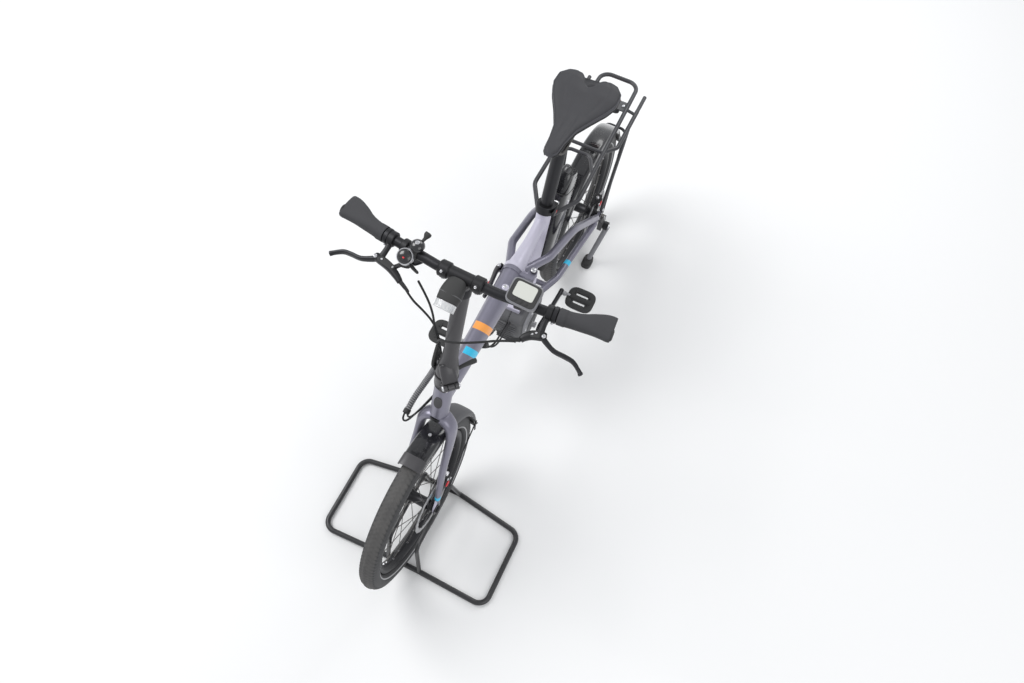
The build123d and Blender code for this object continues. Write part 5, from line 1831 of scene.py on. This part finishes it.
@dataclass
class Power:
    """Motor with its side covers, and the battery with its handle recess and lock."""

    crank_x: float = -590.0
    crank_z: float = 300.0

    def motor(self) -> None:
        """Rounded housing with cooling fins, a cover on each side and its screws."""
        corners = [(-528, 300), (-529, 340), (-533, 374), (-560, 385), (-602, 386), (-642, 384),
                   (-671, 352), (-669, 304), (-640, 262), (-592, 244), (-546, 256)]
        outline = closed_curve(corners, 132)
        middle = np.array((self.crank_x - 8, self.crank_z + 10))
        inner = (outline - middle) * 0.9 + middle
        body = slab(outline, -44.0, 40.0, np.zeros(3), FORWARD, UPWARD, 7.0)
        left = slab(inner, -50.0, -42.0, np.zeros(3), FORWARD, UPWARD, 3.4)
        right = slab(inner, 38.0, 42.5, np.zeros(3), FORWARD, UPWARD, 2.4)
        seam = slab(outline, -2.2, 1.2, np.zeros(3), FORWARD, UPWARD)
        parts = [(body, GREY_PLASTIC_AND_PAINTED_HIGHLIGHT), (left, COVER_GREY), (right, COVER_GREY), (seam, BLACK_PLASTIC)]
        for sign, low in ((1.0, 50.0), (-1.0, -42.5)):
            hub = lathe([(-2, 34), (1.2, 33), (2.2, 30), (2.2, 20)], (self.crank_x, low, self.crank_z),
                        LEFTWARD * sign, 56)
            parts.append((hub, GREY_PLASTIC_AND_PAINTED_HIGHLIGHT))
        for turn in np.arange(20.0, 380.0, 60.0):
            spot = around(self.crank_x - 6, 50.0, turn, 49.6, self.crank_z + 12)
            parts.append((bolt(spot, LEFTWARD, 3.6, 2.4), SILVER))
        for rise in np.linspace(268.0, 356.0, 9):
            fin = loft([(-531, -30, rise, 3.2, 1.5, 4), (-526.5, 0, rise + 4, 3.2, 1.5, 4),
                        (-531, 32, rise, 3.2, 1.5, 4)], FORWARD, 12, 12)
            parts.append((fin, GREY_PLASTIC_AND_PAINTED_HIGHLIGHT))
        make("drive_unit", parts, "rear_half", ("motor",), False, 0.0, 44.0)

    def battery(self) -> None:
        """Glossy pack behind the seat tube: bowed shell, recessed handle on top, seam, lock and cradle."""
        up = unit(np.array((-0.46, 0.0, 1.0)))
        ahead = unit(np.array((1.0, 0.0, 0.46)))
        middle = np.array((-798.0, 0.0, 532.0))

        def at(rise: float, out: float, left: float = 0.0) -> np.ndarray:
            """Point along the pack, then forward of and to the left of its centre line."""
            return middle + up * rise + ahead * out + LEFTWARD * left

        shell = loft(keyed(at, [(-146, 0, 0, 40, 28, 4), (-120, 0, 0, 42.6, 30.4, 4.2),
                                (0, 0, 0, 43, 31, 4.4), (118, 0, 0, 42.8, 30.8, 4.4),
                                (136, -1, 0, 41, 29.5, 4.0), (146, -2, 0, 38, 27.5, 3.6)]), ahead, 60, 48)
        seam = loft(keyed(at, [(96, 0, 0, 43.5, 31.5, 4.4), (98.5, 0, 0, 43.5, 31.5, 4.4)]), ahead, 4, 48,
                    Ends.FLAT)
        top = at(149.4, 6.0)
        recess = slab(rounded_outline(23.0, 15.0, 3.0, 44), -2.0, 1.0, top, ahead, LEFTWARD, 0.8)
        lip = slab(rounded_outline(27.0, 19.0, 3.0, 44), -3.0, 0.2, top, ahead, LEFTWARD, 0.8)
        grip = loft(keyed(at, [(150, 30, 0, 5, 3, 3), (156, 16, 0, 6, 3.2, 3), (158, 2, 0, 6.5, 3.4, 3),
                               (156, -12, 0, 6, 3.2, 3), (150, -26, 0, 5, 3, 3)]), LEFTWARD, 30, 20)
        lock = lathe([(-2, 9), (1.6, 8.6), (2.6, 7.2), (2.6, 3.2), (1.0, 3.0)], at(60, 4, 30.6), LEFTWARD, 32)
        cradle = loft(keyed(at, [(-152, 2, 0, 43, 30, 5), (-140, 2, 0, 44.6, 32, 5),
                                 (-104, 2, 0, 44.8, 32.2, 5)]), ahead, 20, 48)
        strip = loft(keyed(at, [(-90, 0, 30.8, 2.2, 0.9, 3), (40, 0, 31.2, 2.2, 0.9, 3)]), ahead, 20, 12)
        parts = [(shell, GLOSS_BLACK), (seam, BLACK_PLASTIC), (lip, BLACK_PLASTIC), (recess, GREY_PLASTIC_AND_PAINTED_HIGHLIGHT),
                 (grip, GLOSS_BLACK), (lock, SILVER), (cradle, BLACK_PLASTIC), (strip, COVER_GREY)]
        make("battery_pack", parts, "rear_half", ("battery",), False, 0.0, 42.0)

    def build(self) -> None:
        """Make the motor and the battery."""
        self.motor()
        self.battery()


# ------------------------------------------------------------------ seat
@dataclass
class Seat:
    """Seat clamp, post and padded saddle."""

    angle: float = math.radians(73.0)
    foot_x: float = -733.0
    foot_z: float = 654.0
    top: float = 903.0

    def line(self, z: float) -> np.ndarray:
        """Point of the seat tube's line at a height."""
        return np.array((self.foot_x - (z - self.foot_z) / math.tan(self.angle), 0.0, z))

    def clamp(self) -> None:
        """Split collar with its quick lever, cam and adjusting nut."""
        up = np.array((-math.cos(self.angle), 0.0, math.sin(self.angle)))
        ahead = np.array((math.sin(self.angle), 0.0, math.cos(self.angle)))
        spot = self.line(650.0)
        axle = spot + up * 6 - ahead * 27

        def at(left: float, forward: float, rise: float) -> np.ndarray:
            """Point from the clamp's axle: to the left, forward and up along the post."""
            return axle + LEFTWARD * left + ahead * forward + up * rise

        ring = lathe([(-7, 20.3), (-7, 24.5), (-5.5, 26), (16, 26), (18, 24.6), (18, 17.2)], spot, up, 60)
        parts = [(ring, BLACK_METAL)]
        for middle in (-7.5, 7.5):
            lug = loft(keyed(at, [(middle - 4.4, 3, 0, 9, 8, 3.4), (middle + 4.4, 3, 0, 9, 8, 3.4)]), up, 8,
                       24)
            parts.append((lug, BLACK_METAL))
        nut = lathe([(-20, 5), (-20, 8), (-12, 8.6), (-11.4, 4)], axle, LEFTWARD, 24)
        cam = lathe([(11.6, 4), (12, 9.5), (22, 9.5), (24, 8), (24, 3)], axle, LEFTWARD, 32)
        lever = loft(keyed(at, [(18, 0, 0, 9, 6, 2.6), (25, 16, 0, 8, 4.4, 2.8), (29, 38, 2, 8.2, 3.6, 3),
                                (29, 56, 4, 7.4, 3.4, 2.6)]), up, 36, 24)
        parts += [(nut, SILVER), (cam, SILVER), (lever, BLACK_PARTS)]
        for forward in (30.0, 36.0):
            mark = loft(keyed(at, [(31, forward, -4, 1.6, 1.0, 3), (31.6, forward, 6, 1.6, 1.0, 3)]), ahead,
                        6, 12)
            parts.append((mark, RED_MARK))
        make("quick_seat_clamp", parts, "rear_half", ("seat_clamp",), False, 0.3)

    def shape(self, along: np.ndarray, turn: np.ndarray) -> tuple[np.ndarray, np.ndarray, np.ndarray]:
        """Saddle surface: rows from nose to tail, columns round the section from the keel over the top.

        The half width follows smoothed keys; the section is a superellipse with a flat underside; the
        crown falls into a centre channel between two low ridges; the tail is pulled forward in the
        middle, which leaves a lobe on each side.

        Args:
            along: share of the length of each row, 0 at the nose.
            turn: angle of each column, 0 at the top.
        Returns:
            The points' x, y and z as three grids.
        """
        nose_x, length, square = -704.0, 268.0, 0.62
        keys = np.array([(0.0, 9.0, 15.0, -2.0), (0.04, 16.5, 18.5, 0.0), (0.18, 19.5, 20.0, 0.0),
                         (0.36, 28.0, 22.0, -3.5), (0.52, 48.0, 24.0, -4.5), (0.68, 72.0, 27.0, -1.5),
                         (0.80, 85.0, 29.0, 2.0), (0.92, 83.0, 28.0, 3.0), (0.985, 64.0, 21.0, 0.0),
                         (1.0, 44.0, 12.0, -6.0)])
        rows = np.stack([np.interp(along, keys[:, 0], keys[:, column]) for column in (1, 2, 3)])
        for _ in range(3):
            rows[:, 1:-1] = (rows[:, :-2] + 2 * rows[:, 1:-1] + rows[:, 2:]) / 4
        half, deep, lift = rows
        x = nose_x - length * along
        cos, sin = np.cos(turn)[None], np.sin(turn)[None]
        y = half[:, None] * np.sign(sin) * np.abs(sin) ** square
        upper = np.sign(cos) * np.abs(cos) ** square
        z = self.top + lift[:, None] - deep[:, None] * (1 - upper * np.where(upper > 0, 1.0, 0.74)) * 0.62
        on_top = np.clip(upper * 1.6 - 0.35, 0, 1)
        middle = np.clip((along[:, None] - 0.08) * 8, 0, 1)
        channel = np.exp(-(((np.abs(y) - 11.5) / 4.4) ** 2)) * 2.3 + np.exp(-((y / 3.2) ** 2)) * 0.8
        rear_half = np.clip((along[:, None] - 0.5) * 6, 0, 1)
        side_channel = np.exp(-(((np.abs(y) - 0.62 * half[:, None]) / 4.0) ** 2)) * 1.4 * rear_half
        z = z - on_top * (channel * middle + side_channel)
        tail = np.clip((along[:, None] - 0.66) / 0.34, 0, 1) ** 2
        x = x[:, None] + tail * (34.0 * np.exp(-((y / 17.0) ** 2))
                                 - 6.0 * np.clip(1 - (np.abs(y) - 50) ** 2 / 1200, 0, 1))
        z = z - tail * on_top * 6.0 * np.exp(-((y / 20.0) ** 2))
        return x + 0 * y, y, z

    def saddle(self) -> None:
        """Padded saddle: top panel, flank panel, the piped seam between them and the hard shell below."""
        rows, columns, steep = 150, 120, 0.42
        along = 0.5 - 0.5 * np.cos(np.linspace(0, math.pi, rows))
        points = np.stack(self.shape(along, ring_angles(columns) - math.pi), -1)
        parts = [(grid(points, wrap_v=True, closed=True), SADDLE_TOP)]
        trims = ((76.0, 3, 0.5, 0.3, 1.25, SADDLE_FLANK), (104.0, 2, 0.8, -0.8, 2.0, BLACK_PLASTIC))
        for angle, inset, out, rise, radius, finish in trims:
            for sign in (1.0, -1.0):
                column = round((0.5 + sign * angle / 360.0) * columns)
                line = points[inset:-inset, column] + (0.0, sign * out, rise)
                parts.append((tube(line, radius, UPWARD, 10), finish))
        piece = make("padded_saddle", parts, "saddle_set", ("saddle",), False, 0.0, 70.0)
        faces = piece.data.polygons
        normals = np.empty(len(faces) * 3)
        faces.foreach_get("normal", normals)
        index = np.empty(len(faces), np.int32)
        faces.foreach_get("material_index", index)
        index[(index == 0) & (normals[2::3] < steep)] = piece.data.materials.find(SADDLE_FLANK.name)
        faces.foreach_set("material_index", index)

    def build(self) -> None:
        """Make the clamp and the saddle and finish the post and rails."""
        self.clamp()
        self.saddle()
        dress_node("seatpost", BLACK_METAL)
        dress_node("saddle_rails", DARK_STEEL)


# ------------------------------------------------------------------ rear carrier and stands
@dataclass
class Carrier:
    """Rack, tail lamp, rear stays of the mudguard, rear axle and both stands."""

    rack_z: float = 634.0

    def tail_lamp(self) -> None:
        """Lamp under the rack's rear end: a black shell with a red lens."""
        x, z = -1178.0, self.rack_z - 22.0
        shell = loft([(x + 8, 0, z, 35, 14, 3.4), (x + 2, 0, z, 37.5, 16.5, 3.4),
                      (x - 4, 0, z, 37.5, 16.5, 3.4)], LEFTWARD, 12, 40)
        lens = loft([(x - 3, 0, z, 35, 14.2, 3.2), (x - 7, 0, z, 34.0, 13.6, 3.2),
                     (x - 9, 0, z, 28, 9, 3.0)], LEFTWARD, 12, 40)
        make("rear_lamp", [(shell, BLACK_PLASTIC), (lens, RED_LENS)], "rear_half",
             ("tail_light",))

    def rack_trim(self) -> None:
        """Screws where the rack's bars meet, a rubber strap hook and end caps on the pannier rails."""
        parts = []
        for side in Side:
            y = side.value * 86.0
            cap = lathe([(-0.2, 5.2), (1.0, 4.8), (1.8, 3.0)], (-1238.0, y, 622.0), -FORWARD, 20)
            foot_screw = bolt((-1070.0, side.value * 76.5, 281.0), LEFTWARD * side.value, 5.0, 3.6)
            top_screw = bolt((-1168.0, side.value * 46.0, self.rack_z - 0.8), UPWARD, 4.4, 2.8)
            parts += [(cap, BLACK_PLASTIC), (foot_screw, SILVER), (top_screw, SILVER)]
        block = loft([(-1146, 0, self.rack_z - 8, 15, 5, 4), (-1132, 0, self.rack_z - 8, 15, 5, 4)],
                     LEFTWARD, 10, 24)
        parts.append((block, BLACK_PLASTIC))
        make("rack_fittings", parts, "rear_half")

    def axle_nuts(self) -> None:
        """Nuts, washers and the axle's ends at the rear dropouts."""
        parts = []
        for side in Side:
            out = LEFTWARD * side.value
            face = np.array((-WHEELBASE, side.value * 78.5, WHEEL_RADIUS))
            washer = lathe([(-3.5, 13), (0, 13), (0, 5)], face, out, 32)
            nut = lathe([(-0.2, 10.6), (7.6, 10.6), (9.0, 8.8), (9.0, 5)], face, out, 6)
            axle_end = lathe([(8.0, 5.0), (12.0, 5.0), (12.8, 4.0)], face, out, 24)
            parts += [(washer, STEEL), (nut, DARK_STEEL), (axle_end, STEEL)]
        make("rear_axle_nuts", parts, "rear_half", ("rear_axle",))

    def kickstand(self) -> None:
        """Leg of the side stand: pivot boss, tube and a flared foot."""
        start = np.array((-1072.0, 103.0, 206.0))
        foot = np.array((-1048.0, 70.0, 14.0))
        away = unit(foot - start)
        keys = [(*(start + away * reach), half, half, 2) for reach,
                half in ((-4, 9), (60, 8.6), (150, 8.2), (186, 9.0))]
        leg = loft(keys, FORWARD, 40, 28)
        boss = lathe([(-7.4, 10), (-7.4, 13.4), (-6.4, 14.2), (6.4, 14.2), (7.4, 13.4), (7.4, 8)],
                     start - LEFTWARD * 4.5, LEFTWARD, 40)
        shoe = loft([(foot[0], y, z, *sizes) for y, z, *sizes in (
            (71, 34, 11, 11, 2.2), (70.4, 24, 15, 13, 2.4), (70, 12, 24, 16, 2.8), (70, 3, 26, 17, 3.0),
            (70, 0.6, 25, 16, 3.0))], FORWARD, 30, 36)
        screw = bolt(start + LEFTWARD * 2.8, LEFTWARD, 6.5, 4.0)
        parts = [(leg, COVER_GREY), (boss, BLACK_PARTS), (shoe, BLACK_PLASTIC), (screw, SILVER)]
        make("side_stand_leg", parts, "kickstand_leg", ("kickstand",))
        dress_node("kickstand_mount", DARK_SATIN)

    def build(self) -> None:
        """Make the rear fittings and paint the carried-over pieces."""
        self.tail_lamp()
        self.rack_trim()
        self.axle_nuts()
        self.kickstand()
        dress_node("rack", RACK_PAINT)
        dress_node("rear_fender_stays", BLACK_METAL)
        dress_node("display_stand", STAND_PAINT)


# ------------------------------------------------------------------ drivetrain
@dataclass
class Drivetrain:
    """Chainring, chain, sprockets, derailleur, cranks and pedals."""

    crank_x: float = -590.0
    crank_z: float = 300.0
    length: float = 170.0
    angle: float = 16.0
    chain_y: float = -50.0
    pitch: float = 12.7
    chain_rise: float = 3.2
    pulleys: tuple = ((-1058.0, 192.0), (-1034.0, 132.0))
    pulley_radius: float = 19.0

    def toothed(self, x: float, z: float, y: float, teeth: int, inner: float, half: float) -> Surface:
        """Toothed ring: its outer radius follows a clipped sine of the turn, one wave for each tooth.

        Args:
            x: centre along the bicycle.
            z: height of the centre.
            y: place across the bicycle.
            teeth: number of teeth.
            inner: radius of the hole.
            half: half its thickness.
        Returns:
            The closed ring.
        """
        count = teeth * 10
        turn = np.linspace(0, math.tau, count, endpoint=False)[:, None]
        pitch_radius = teeth * self.pitch / math.tau
        outer = pitch_radius + 3.1 * np.clip(np.sin(turn * teeth) * 1.5 + 0.1, -1, 1)
        bored = inner + 0 * turn
        radii = np.concatenate((bored, outer - 0.7, outer, outer, outer - 0.7, bored), 1)
        thick = y + half * np.array((-1.0, -1.0, -0.4, 0.4, 1.0, 1.0))[None]
        return grid(around(x, radii, np.degrees(turn), thick, z), wrap_u=True, wrap_v=True)

    def path(self) -> tuple[np.ndarray, np.ndarray]:
        """Chain's line round its wheels: straight runs tangent to arcs, at even steps of the pitch.

        Returns:
            The pins' places as x and z, and the direction at each.
        """
        grow = self.chain_rise
        wheels = [(self.crank_x, self.crank_z, 76 + grow + 0.6, 1.0),
                  (-WHEELBASE, WHEEL_RADIUS, 32 + grow + 0.4, 1.0),
                  (*self.pulleys[0], self.pulley_radius + grow + 0.4, -1.0),
                  (*self.pulleys[1], self.pulley_radius + grow + 0.4, 1.0)]
        leaves, reaches = [], []
        for here, there in zip(wheels, wheels[1:] + wheels[:1]):
            dx, dz = there[0] - here[0], there[1] - here[1]
            lean = math.asin((there[2] * there[3] - here[2] * here[3]) / math.hypot(dx, dz))
            way = math.atan2(dz, dx) - lean
            leaves.append(math.atan2(-here[3] * math.cos(way), here[3] * math.sin(way)))
            reaches.append(math.atan2(-there[3] * math.cos(way), there[3] * math.sin(way)))
        points = []
        for number, (x, z, radius, turn) in enumerate(wheels):
            start, finish = reaches[number - 1], leaves[number]
            sweep = (finish - start) * turn % math.tau
            arc = start + turn * np.linspace(0, sweep, 60)
            points.append(np.stack((x + radius * np.cos(arc), z + radius * np.sin(arc)), -1))
        line = np.concatenate(points + [points[0][:1]])
        run = np.concatenate(([0], np.cumsum(np.linalg.norm(np.diff(line, axis=0), axis=1))))
        links = 2 * round(run[-1] / self.pitch / 2)
        even = np.linspace(0, run[-1], links, endpoint=False)
        pins = np.stack([np.interp(even, run, line[:, axis]) for axis in (0, 1)], -1)
        ahead = np.roll(pins, -1, 0) - pins
        return pins, np.arctan2(ahead[:, 1], ahead[:, 0])

    def link_plate(self, y: float) -> Surface:
        """Waisted side plate of one link, from pin to pin along forward.

        Args:
            y: place across the bicycle.
        Returns:
            The closed plate.
        """
        turn = np.linspace(0, math.tau, 28, endpoint=False)
        waist = 3.9 - 1.1 * np.exp(-((np.cos(turn) / 0.5) ** 2))
        outline = np.stack((self.pitch / 2 + np.cos(turn) * (self.pitch / 2 + 3.7), np.sin(turn) * waist), -1)
        return slab(outline, -0.55, 0.55, np.array((0.0, y, 0.0)), FORWARD, UPWARD, 0.2)

    def chain(self) -> None:
        """Links along the chain's line, wide and narrow plates in turn, with pins and rollers."""
        pins, angles = self.path()
        places = np.stack((pins[:, 0], np.full(len(pins), self.chain_y), pins[:, 1]), -1)
        parts = []
        for start, out in ((0, 2.9), (1, 1.8)):
            for sign in (-1.0, 1.0):
                parts.append((repeated(self.link_plate(sign * out), places[start::2], angles[start::2]),
                              DARK_STEEL))
        pin = lathe([(-3.7, 1.5), (-3.4, 1.9), (3.4, 1.9), (3.7, 1.5)], np.zeros(3), LEFTWARD, 10)
        roller = lathe([(-1.2, 3.6), (1.2, 3.6)], np.zeros(3), LEFTWARD, 14)
        parts += [(repeated(pin, places, angles), STEEL), (repeated(roller, places, angles), DARK_STEEL)]
        make("roller_chain", parts, "rear_half", ("chain",))

    def chainring(self) -> None:
        """Toothed ring, four swept arms, ring bolts and the arms' hub."""
        parts = [(self.toothed(self.crank_x, self.crank_z, self.chain_y, 38, 62.0, 2.0), BLACK_METAL)]
        for index in range(4):
            angle = self.angle + 45.0 + 90.0 * index
            keys = [(*around(self.crank_x, r, angle, self.chain_y - rise, self.crank_z), half, 3.0, 4)
                    for r, half, rise in ((18, 11, 4), (36, 8.0, 3), (52, 8.5, 1), (66, 7.0, 0))]
            side = unit(around(0.0, 1.0, angle + 90.0, 0.0, 0.0))
            parts.append((loft(keys, side, 20, 20), BLACK_PARTS))
            spot = around(self.crank_x, 65.0, angle, self.chain_y - 2.6, self.crank_z)
            parts.append((bolt(spot, -LEFTWARD, 4.6, 2.4), SILVER))
        hub = lathe([(0, 12), (0, 21), (8, 20), (13, 17), (14, 9)],
                    (self.crank_x, self.chain_y - 1, self.crank_z), -LEFTWARD, 44)
        make("toothed_chainring", parts + [(hub, BLACK_PARTS)], "crankset", ("chainring",))

    def cassette(self) -> None:
        """Seven sprockets on their hub, the smallest outside."""
        teeth = (28, 24, 21, 18, 16, 14, 12)
        parts = [(self.toothed(-WHEELBASE, WHEEL_RADIUS, -35 - 3.6 * index, count, 14.0, 0.9), STEEL)
                 for index, count in enumerate(teeth)]
        core = lathe([(0, 13), (0, 17), (25, 17), (27, 15), (27, 9)], (-WHEELBASE, -34.0, WHEEL_RADIUS),
                     -LEFTWARD, 36)
        make("sprocket_stack", parts + [(core, DARK_STEEL)], "rear_wheel_set", ("cassette",))

    def derailleur(self) -> None:
        """Body hung from the dropout, two toothed pulleys, and the cage plates that hold them."""
        (ax, az), (bx, bz) = self.pulleys
        body = loft([(-1060, -62, 236, 10, 7, 3), (-1060, -68, 222, 13, 8, 3), (-1057, -69, 206, 13, 8, 3),
                     (-1055, -66, 192, 9, 6, 3)], FORWARD, 30, 28)
        parts = [(body, BLACK_PARTS)]
        for x, z in self.pulleys:
            parts.append((self.toothed(x, z, self.chain_y, 9, 5.0, 1.2), BLACK_PLASTIC))
            parts.append((bolt((x, self.chain_y - 9.6, z), -LEFTWARD, 4.2, 2.6), SILVER))
        for y, half in ((self.chain_y - 8.6, 9.5), (self.chain_y + 6.4, 8.5)):
            plate = loft([(ax - 2, y, az + 12, half - 2, 1.2, 3), (ax, y, az, half, 1.2, 3),
                          ((ax + bx) / 2, y, (az + bz) / 2, half - 3, 1.2, 3), (bx, y, bz, half, 1.2, 3),
                          (bx + 4, y, bz - 11, half - 3, 1.2, 3)], FORWARD, 40, 20)
            parts.append((plate, BLACK_METAL))
        make("rear_derailleur", parts, "rear_half", ("derailleur",))

    def pedal_place(self, side: Side) -> np.ndarray:
        """The pedal eye's middle: the right crank points forward and the left one back."""
        angle = self.angle + (0.0 if side is Side.RIGHT else 180.0)
        return around(self.crank_x, self.length, angle, side.value * 77.0, self.crank_z)

    def crank(self, side: Side) -> None:
        """Forged arm from the spindle to the pedal eye, with its bolt and eye rings.

        Args:
            side: which side of the bicycle.
        """
        start = np.array((self.crank_x, side.value * 77.0, self.crank_z))
        finish = self.pedal_place(side)
        way = unit(finish - start)
        across = np.cross(way, LEFTWARD)
        out = LEFTWARD * side.value
        rows = ((-12, 11, 6.2, 2.6), (0, 16.5, 7.0, 2.8), (24, 13.5, 6.8, 3.2), (90, 10.5, 6.0, 3.4),
                (150, 9.5, 6.2, 3.2), (self.length, 11.6, 6.8, 2.8), (self.length + 9, 8, 6, 2.6))
        arm = loft([(*(start + way * reach), *sizes) for reach, *sizes in rows], across, 60, 30)
        cap = lathe([(5.6, 12.5), (8.4, 12), (9.4, 10), (9.4, 5), (7.4, 4.6)], start, out, 34)
        eye = lathe([(5.8, 7.0), (7.4, 8.6), (7.6, 5)], finish, out, 30)
        parts = [(arm, BLACK_METAL), (cap, BLACK_PLASTIC), (eye, STEEL)]
        if side is Side.RIGHT:
            parts.append((lathe([(-15, 9), (138, 9)], start + LEFTWARD * 4, LEFTWARD, 24), STEEL))
        make(f"forged_crank_{side.word}", parts, "crankset", (f"crank_{side.word}",))

    def pedal(self, side: Side) -> None:
        """Rounded cage with openings between its ribs, a centre barrel, a spindle and two reflectors.

        Args:
            side: which side of the bicycle.
        """
        px, _, pz = self.pedal_place(side)
        y, stations = side.value * 141.0, 96
        middle = np.array((px, y, pz))
        ring = oval(stations, np.array([2.0 / 0.44]))[0] * (28.0, 33.0)
        loop = middle + np.concatenate((ring, np.zeros((stations, 1))), 1)
        sections = oval(14, np.full(stations, 4.6)) * (4.9, 9.6)
        band = grid(carried(loop, sections, UPWARD, True), wrap_u=True, wrap_v=True)
        barrel = loft(keyed(beside(middle), [(0, -35, 0, 10, 9, 3), (0, 0, 0, 9, 8.4, 3),
                                             (0, 35, 0, 10, 9, 3)]), FORWARD, 24, 28)
        parts = [(band, BLACK_PLASTIC), (barrel, BLACK_PLASTIC)]
        for reach in (-21.0, 21.0):
            rib = loft(keyed(beside(middle), [(-27, reach, 0, 2.2, 6.5, 4), (27, reach, 0, 2.2, 6.5, 4)]),
                       LEFTWARD, 8, 14)
            parts.append((rib, BLACK_PLASTIC))
        for sign in (-1.0, 1.0):
            place = middle + FORWARD * sign * 32.4
            glass = slab(rounded_outline(15.0, 4.6, 5.0, 28), -1.0, 1.6, place, LEFTWARD, UPWARD * sign, 0.6)
            parts.append((glass, ORANGE_REFLECTOR))
        low, high = sorted((side.value * -57.0, side.value * -34.0))
        spindle = lathe([(low, 6), (high, 6)], middle, LEFTWARD, 22)
        flats = lathe([(-3, 8.6), (3, 8.6)], (px, side.value * 89.5, pz), LEFTWARD, 6)
        make(f"cage_pedal_{side.word}", parts + [(spindle, STEEL), (flats, STEEL)], f"pedal_{side.word}_set",
             (f"pedal_{side.word}",), False, 0.0, 44.0)

    def build(self) -> None:
        """Make the whole drivetrain."""
        self.chainring()
        self.chain()
        self.cassette()
        self.derailleur()
        for side in Side:
            self.crank(side)
            self.pedal(side)


# ------------------------------------------------------------------ studio
@dataclass
class Studio:
    """Camera, pale floor, soft lights and a white surround."""

    eye: tuple = (1.095413, 0.410796, 2.466184)
    yaw: float = math.radians(200.723)
    pitch: float = math.radians(-62.365)
    roll: float = math.radians(5.481)
    lens: float = 30.2146

    def camera(self) -> None:
        """Camera that looks down on the parked bicycle from its front left."""
        level = math.cos(self.pitch)
        look = np.array((level * math.cos(self.yaw), level * math.sin(self.yaw), math.sin(self.pitch)))
        right = unit(np.cross(look, UPWARD))
        above = np.cross(right, look)
        across = math.cos(self.roll) * right + math.sin(self.roll) * above
        upright = -math.sin(self.roll) * right + math.cos(self.roll) * above
        data = bpy.data.cameras.new("studio_camera")
        data.sensor_width = 36.0
        data.lens = self.lens
        data.shift_x = 0.00162
        data.shift_y = -0.00108
        data.clip_end = 60.0
        camera = bpy.data.objects.new("studio_camera", data)
        turn = Matrix([list(row) for row in np.stack((across, upright, -look), -1)]).to_4x4()
        camera.matrix_world = Matrix.Translation(Vector(self.eye)) @ turn
        bpy.context.scene.collection.objects.link(camera)
        bpy.context.scene.camera = camera

    def floor(self) -> None:
        """Wide pale matt floor."""
        half = 14.0
        mesh = bpy.data.meshes.new("studio_floor")
        mesh.from_pydata([(-half, -half, 0), (half, -half, 0), (half, half, 0), (-half, half, 0)], [],
                         [(0, 1, 2, 3)])
        material = bpy.data.materials.new("pale_floor")
        material.use_nodes = True
        shader = material.node_tree.nodes["Principled BSDF"]
        shader.inputs["Base Color"].default_value = (0.87, 0.87, 0.868, 1.0)
        shader.inputs["Roughness"].default_value = 0.7
        mesh.materials.append(material)
        floor = bpy.data.objects.new("studio_floor", mesh)
        bpy.context.scene.collection.objects.link(floor)

    def lamp(self, name: str, place: tuple, target: tuple, size: float, power: float) -> None:
        """Square soft light that faces a target.

        Args:
            name: the light's name.
            place: where it stands, in metres.
            target: what it faces.
            size: its side.
            power: its power in watts.
        """
        data = bpy.data.lights.new(name, "AREA")
        data.size = size
        data.energy = power
        lamp = bpy.data.objects.new(name, data)
        lamp.location = place
        lamp.rotation_euler = (Vector(target) - Vector(place)).to_track_quat("-Z", "Y").to_euler()
        bpy.context.scene.collection.objects.link(lamp)

    def surround(self) -> None:
        """World that lights softly and shows white to the camera; other rays see a dimmer, faintly blue
        light.
        """
        world = bpy.data.worlds.new("white_surround")
        world.use_nodes = True
        tree = world.node_tree
        tree.nodes.clear()
        rays = tree.nodes.new("ShaderNodeLightPath")
        mix = tree.nodes.new("ShaderNodeMixShader")
        out = tree.nodes.new("ShaderNodeOutputWorld")
        tree.links.new(rays.outputs["Is Camera Ray"], mix.inputs["Fac"])
        for socket, colour, strength in ((1, (0.95, 0.97, 1.0, 1.0), 0.62), (2, (1.0, 1.0, 1.0, 1.0), 1.0)):
            light = tree.nodes.new("ShaderNodeBackground")
            light.inputs["Color"].default_value = colour
            light.inputs["Strength"].default_value = strength
            tree.links.new(light.outputs["Background"], mix.inputs[socket])
        tree.links.new(mix.outputs["Shader"], out.inputs["Surface"])
        bpy.context.scene.world = world

    def build(self) -> None:
        """Set up the studio and the plain view transform."""
        self.camera()
        self.floor()
        self.surround()
        self.lamp("key_light", (0.4, -2.6, 3.6), (0.0, 0.0, 0.4), 2.2, 95.0)
        self.lamp("fill_light", (1.6, 2.8, 2.8), (0.0, 0.0, 0.4), 2.6, 38.0)
        self.lamp("back_light", (-3.0, 0.4, 2.6), (0.0, 0.0, 0.5), 1.8, 34.0)
        bpy.context.scene.view_settings.view_transform = "Standard"


def main() -> None:
    """Build every sub-assembly in order."""
    logging.basicConfig(level=logging.INFO, format="%(message)s")
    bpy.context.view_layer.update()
    sections = (Studio(), Hoses(), RunningGear(), Fork(),
                Caliper("front_brake_caliper", "front_caliper", "fork_and_stand", True, 0.0, 40.0, 150.0),
                Caliper("rear_brake_caliper", "rear_caliper", "rear_half", False, -WHEELBASE, 54.0, 84.0),
                HandlePost(), Cockpit(), FrameTrim(), Power(), Seat(), Carrier(), Drivetrain())
    for section in sections:
        section.build()
        log.info("finished %s", type(section).__name__)


if __name__ == "__main__":
    main()
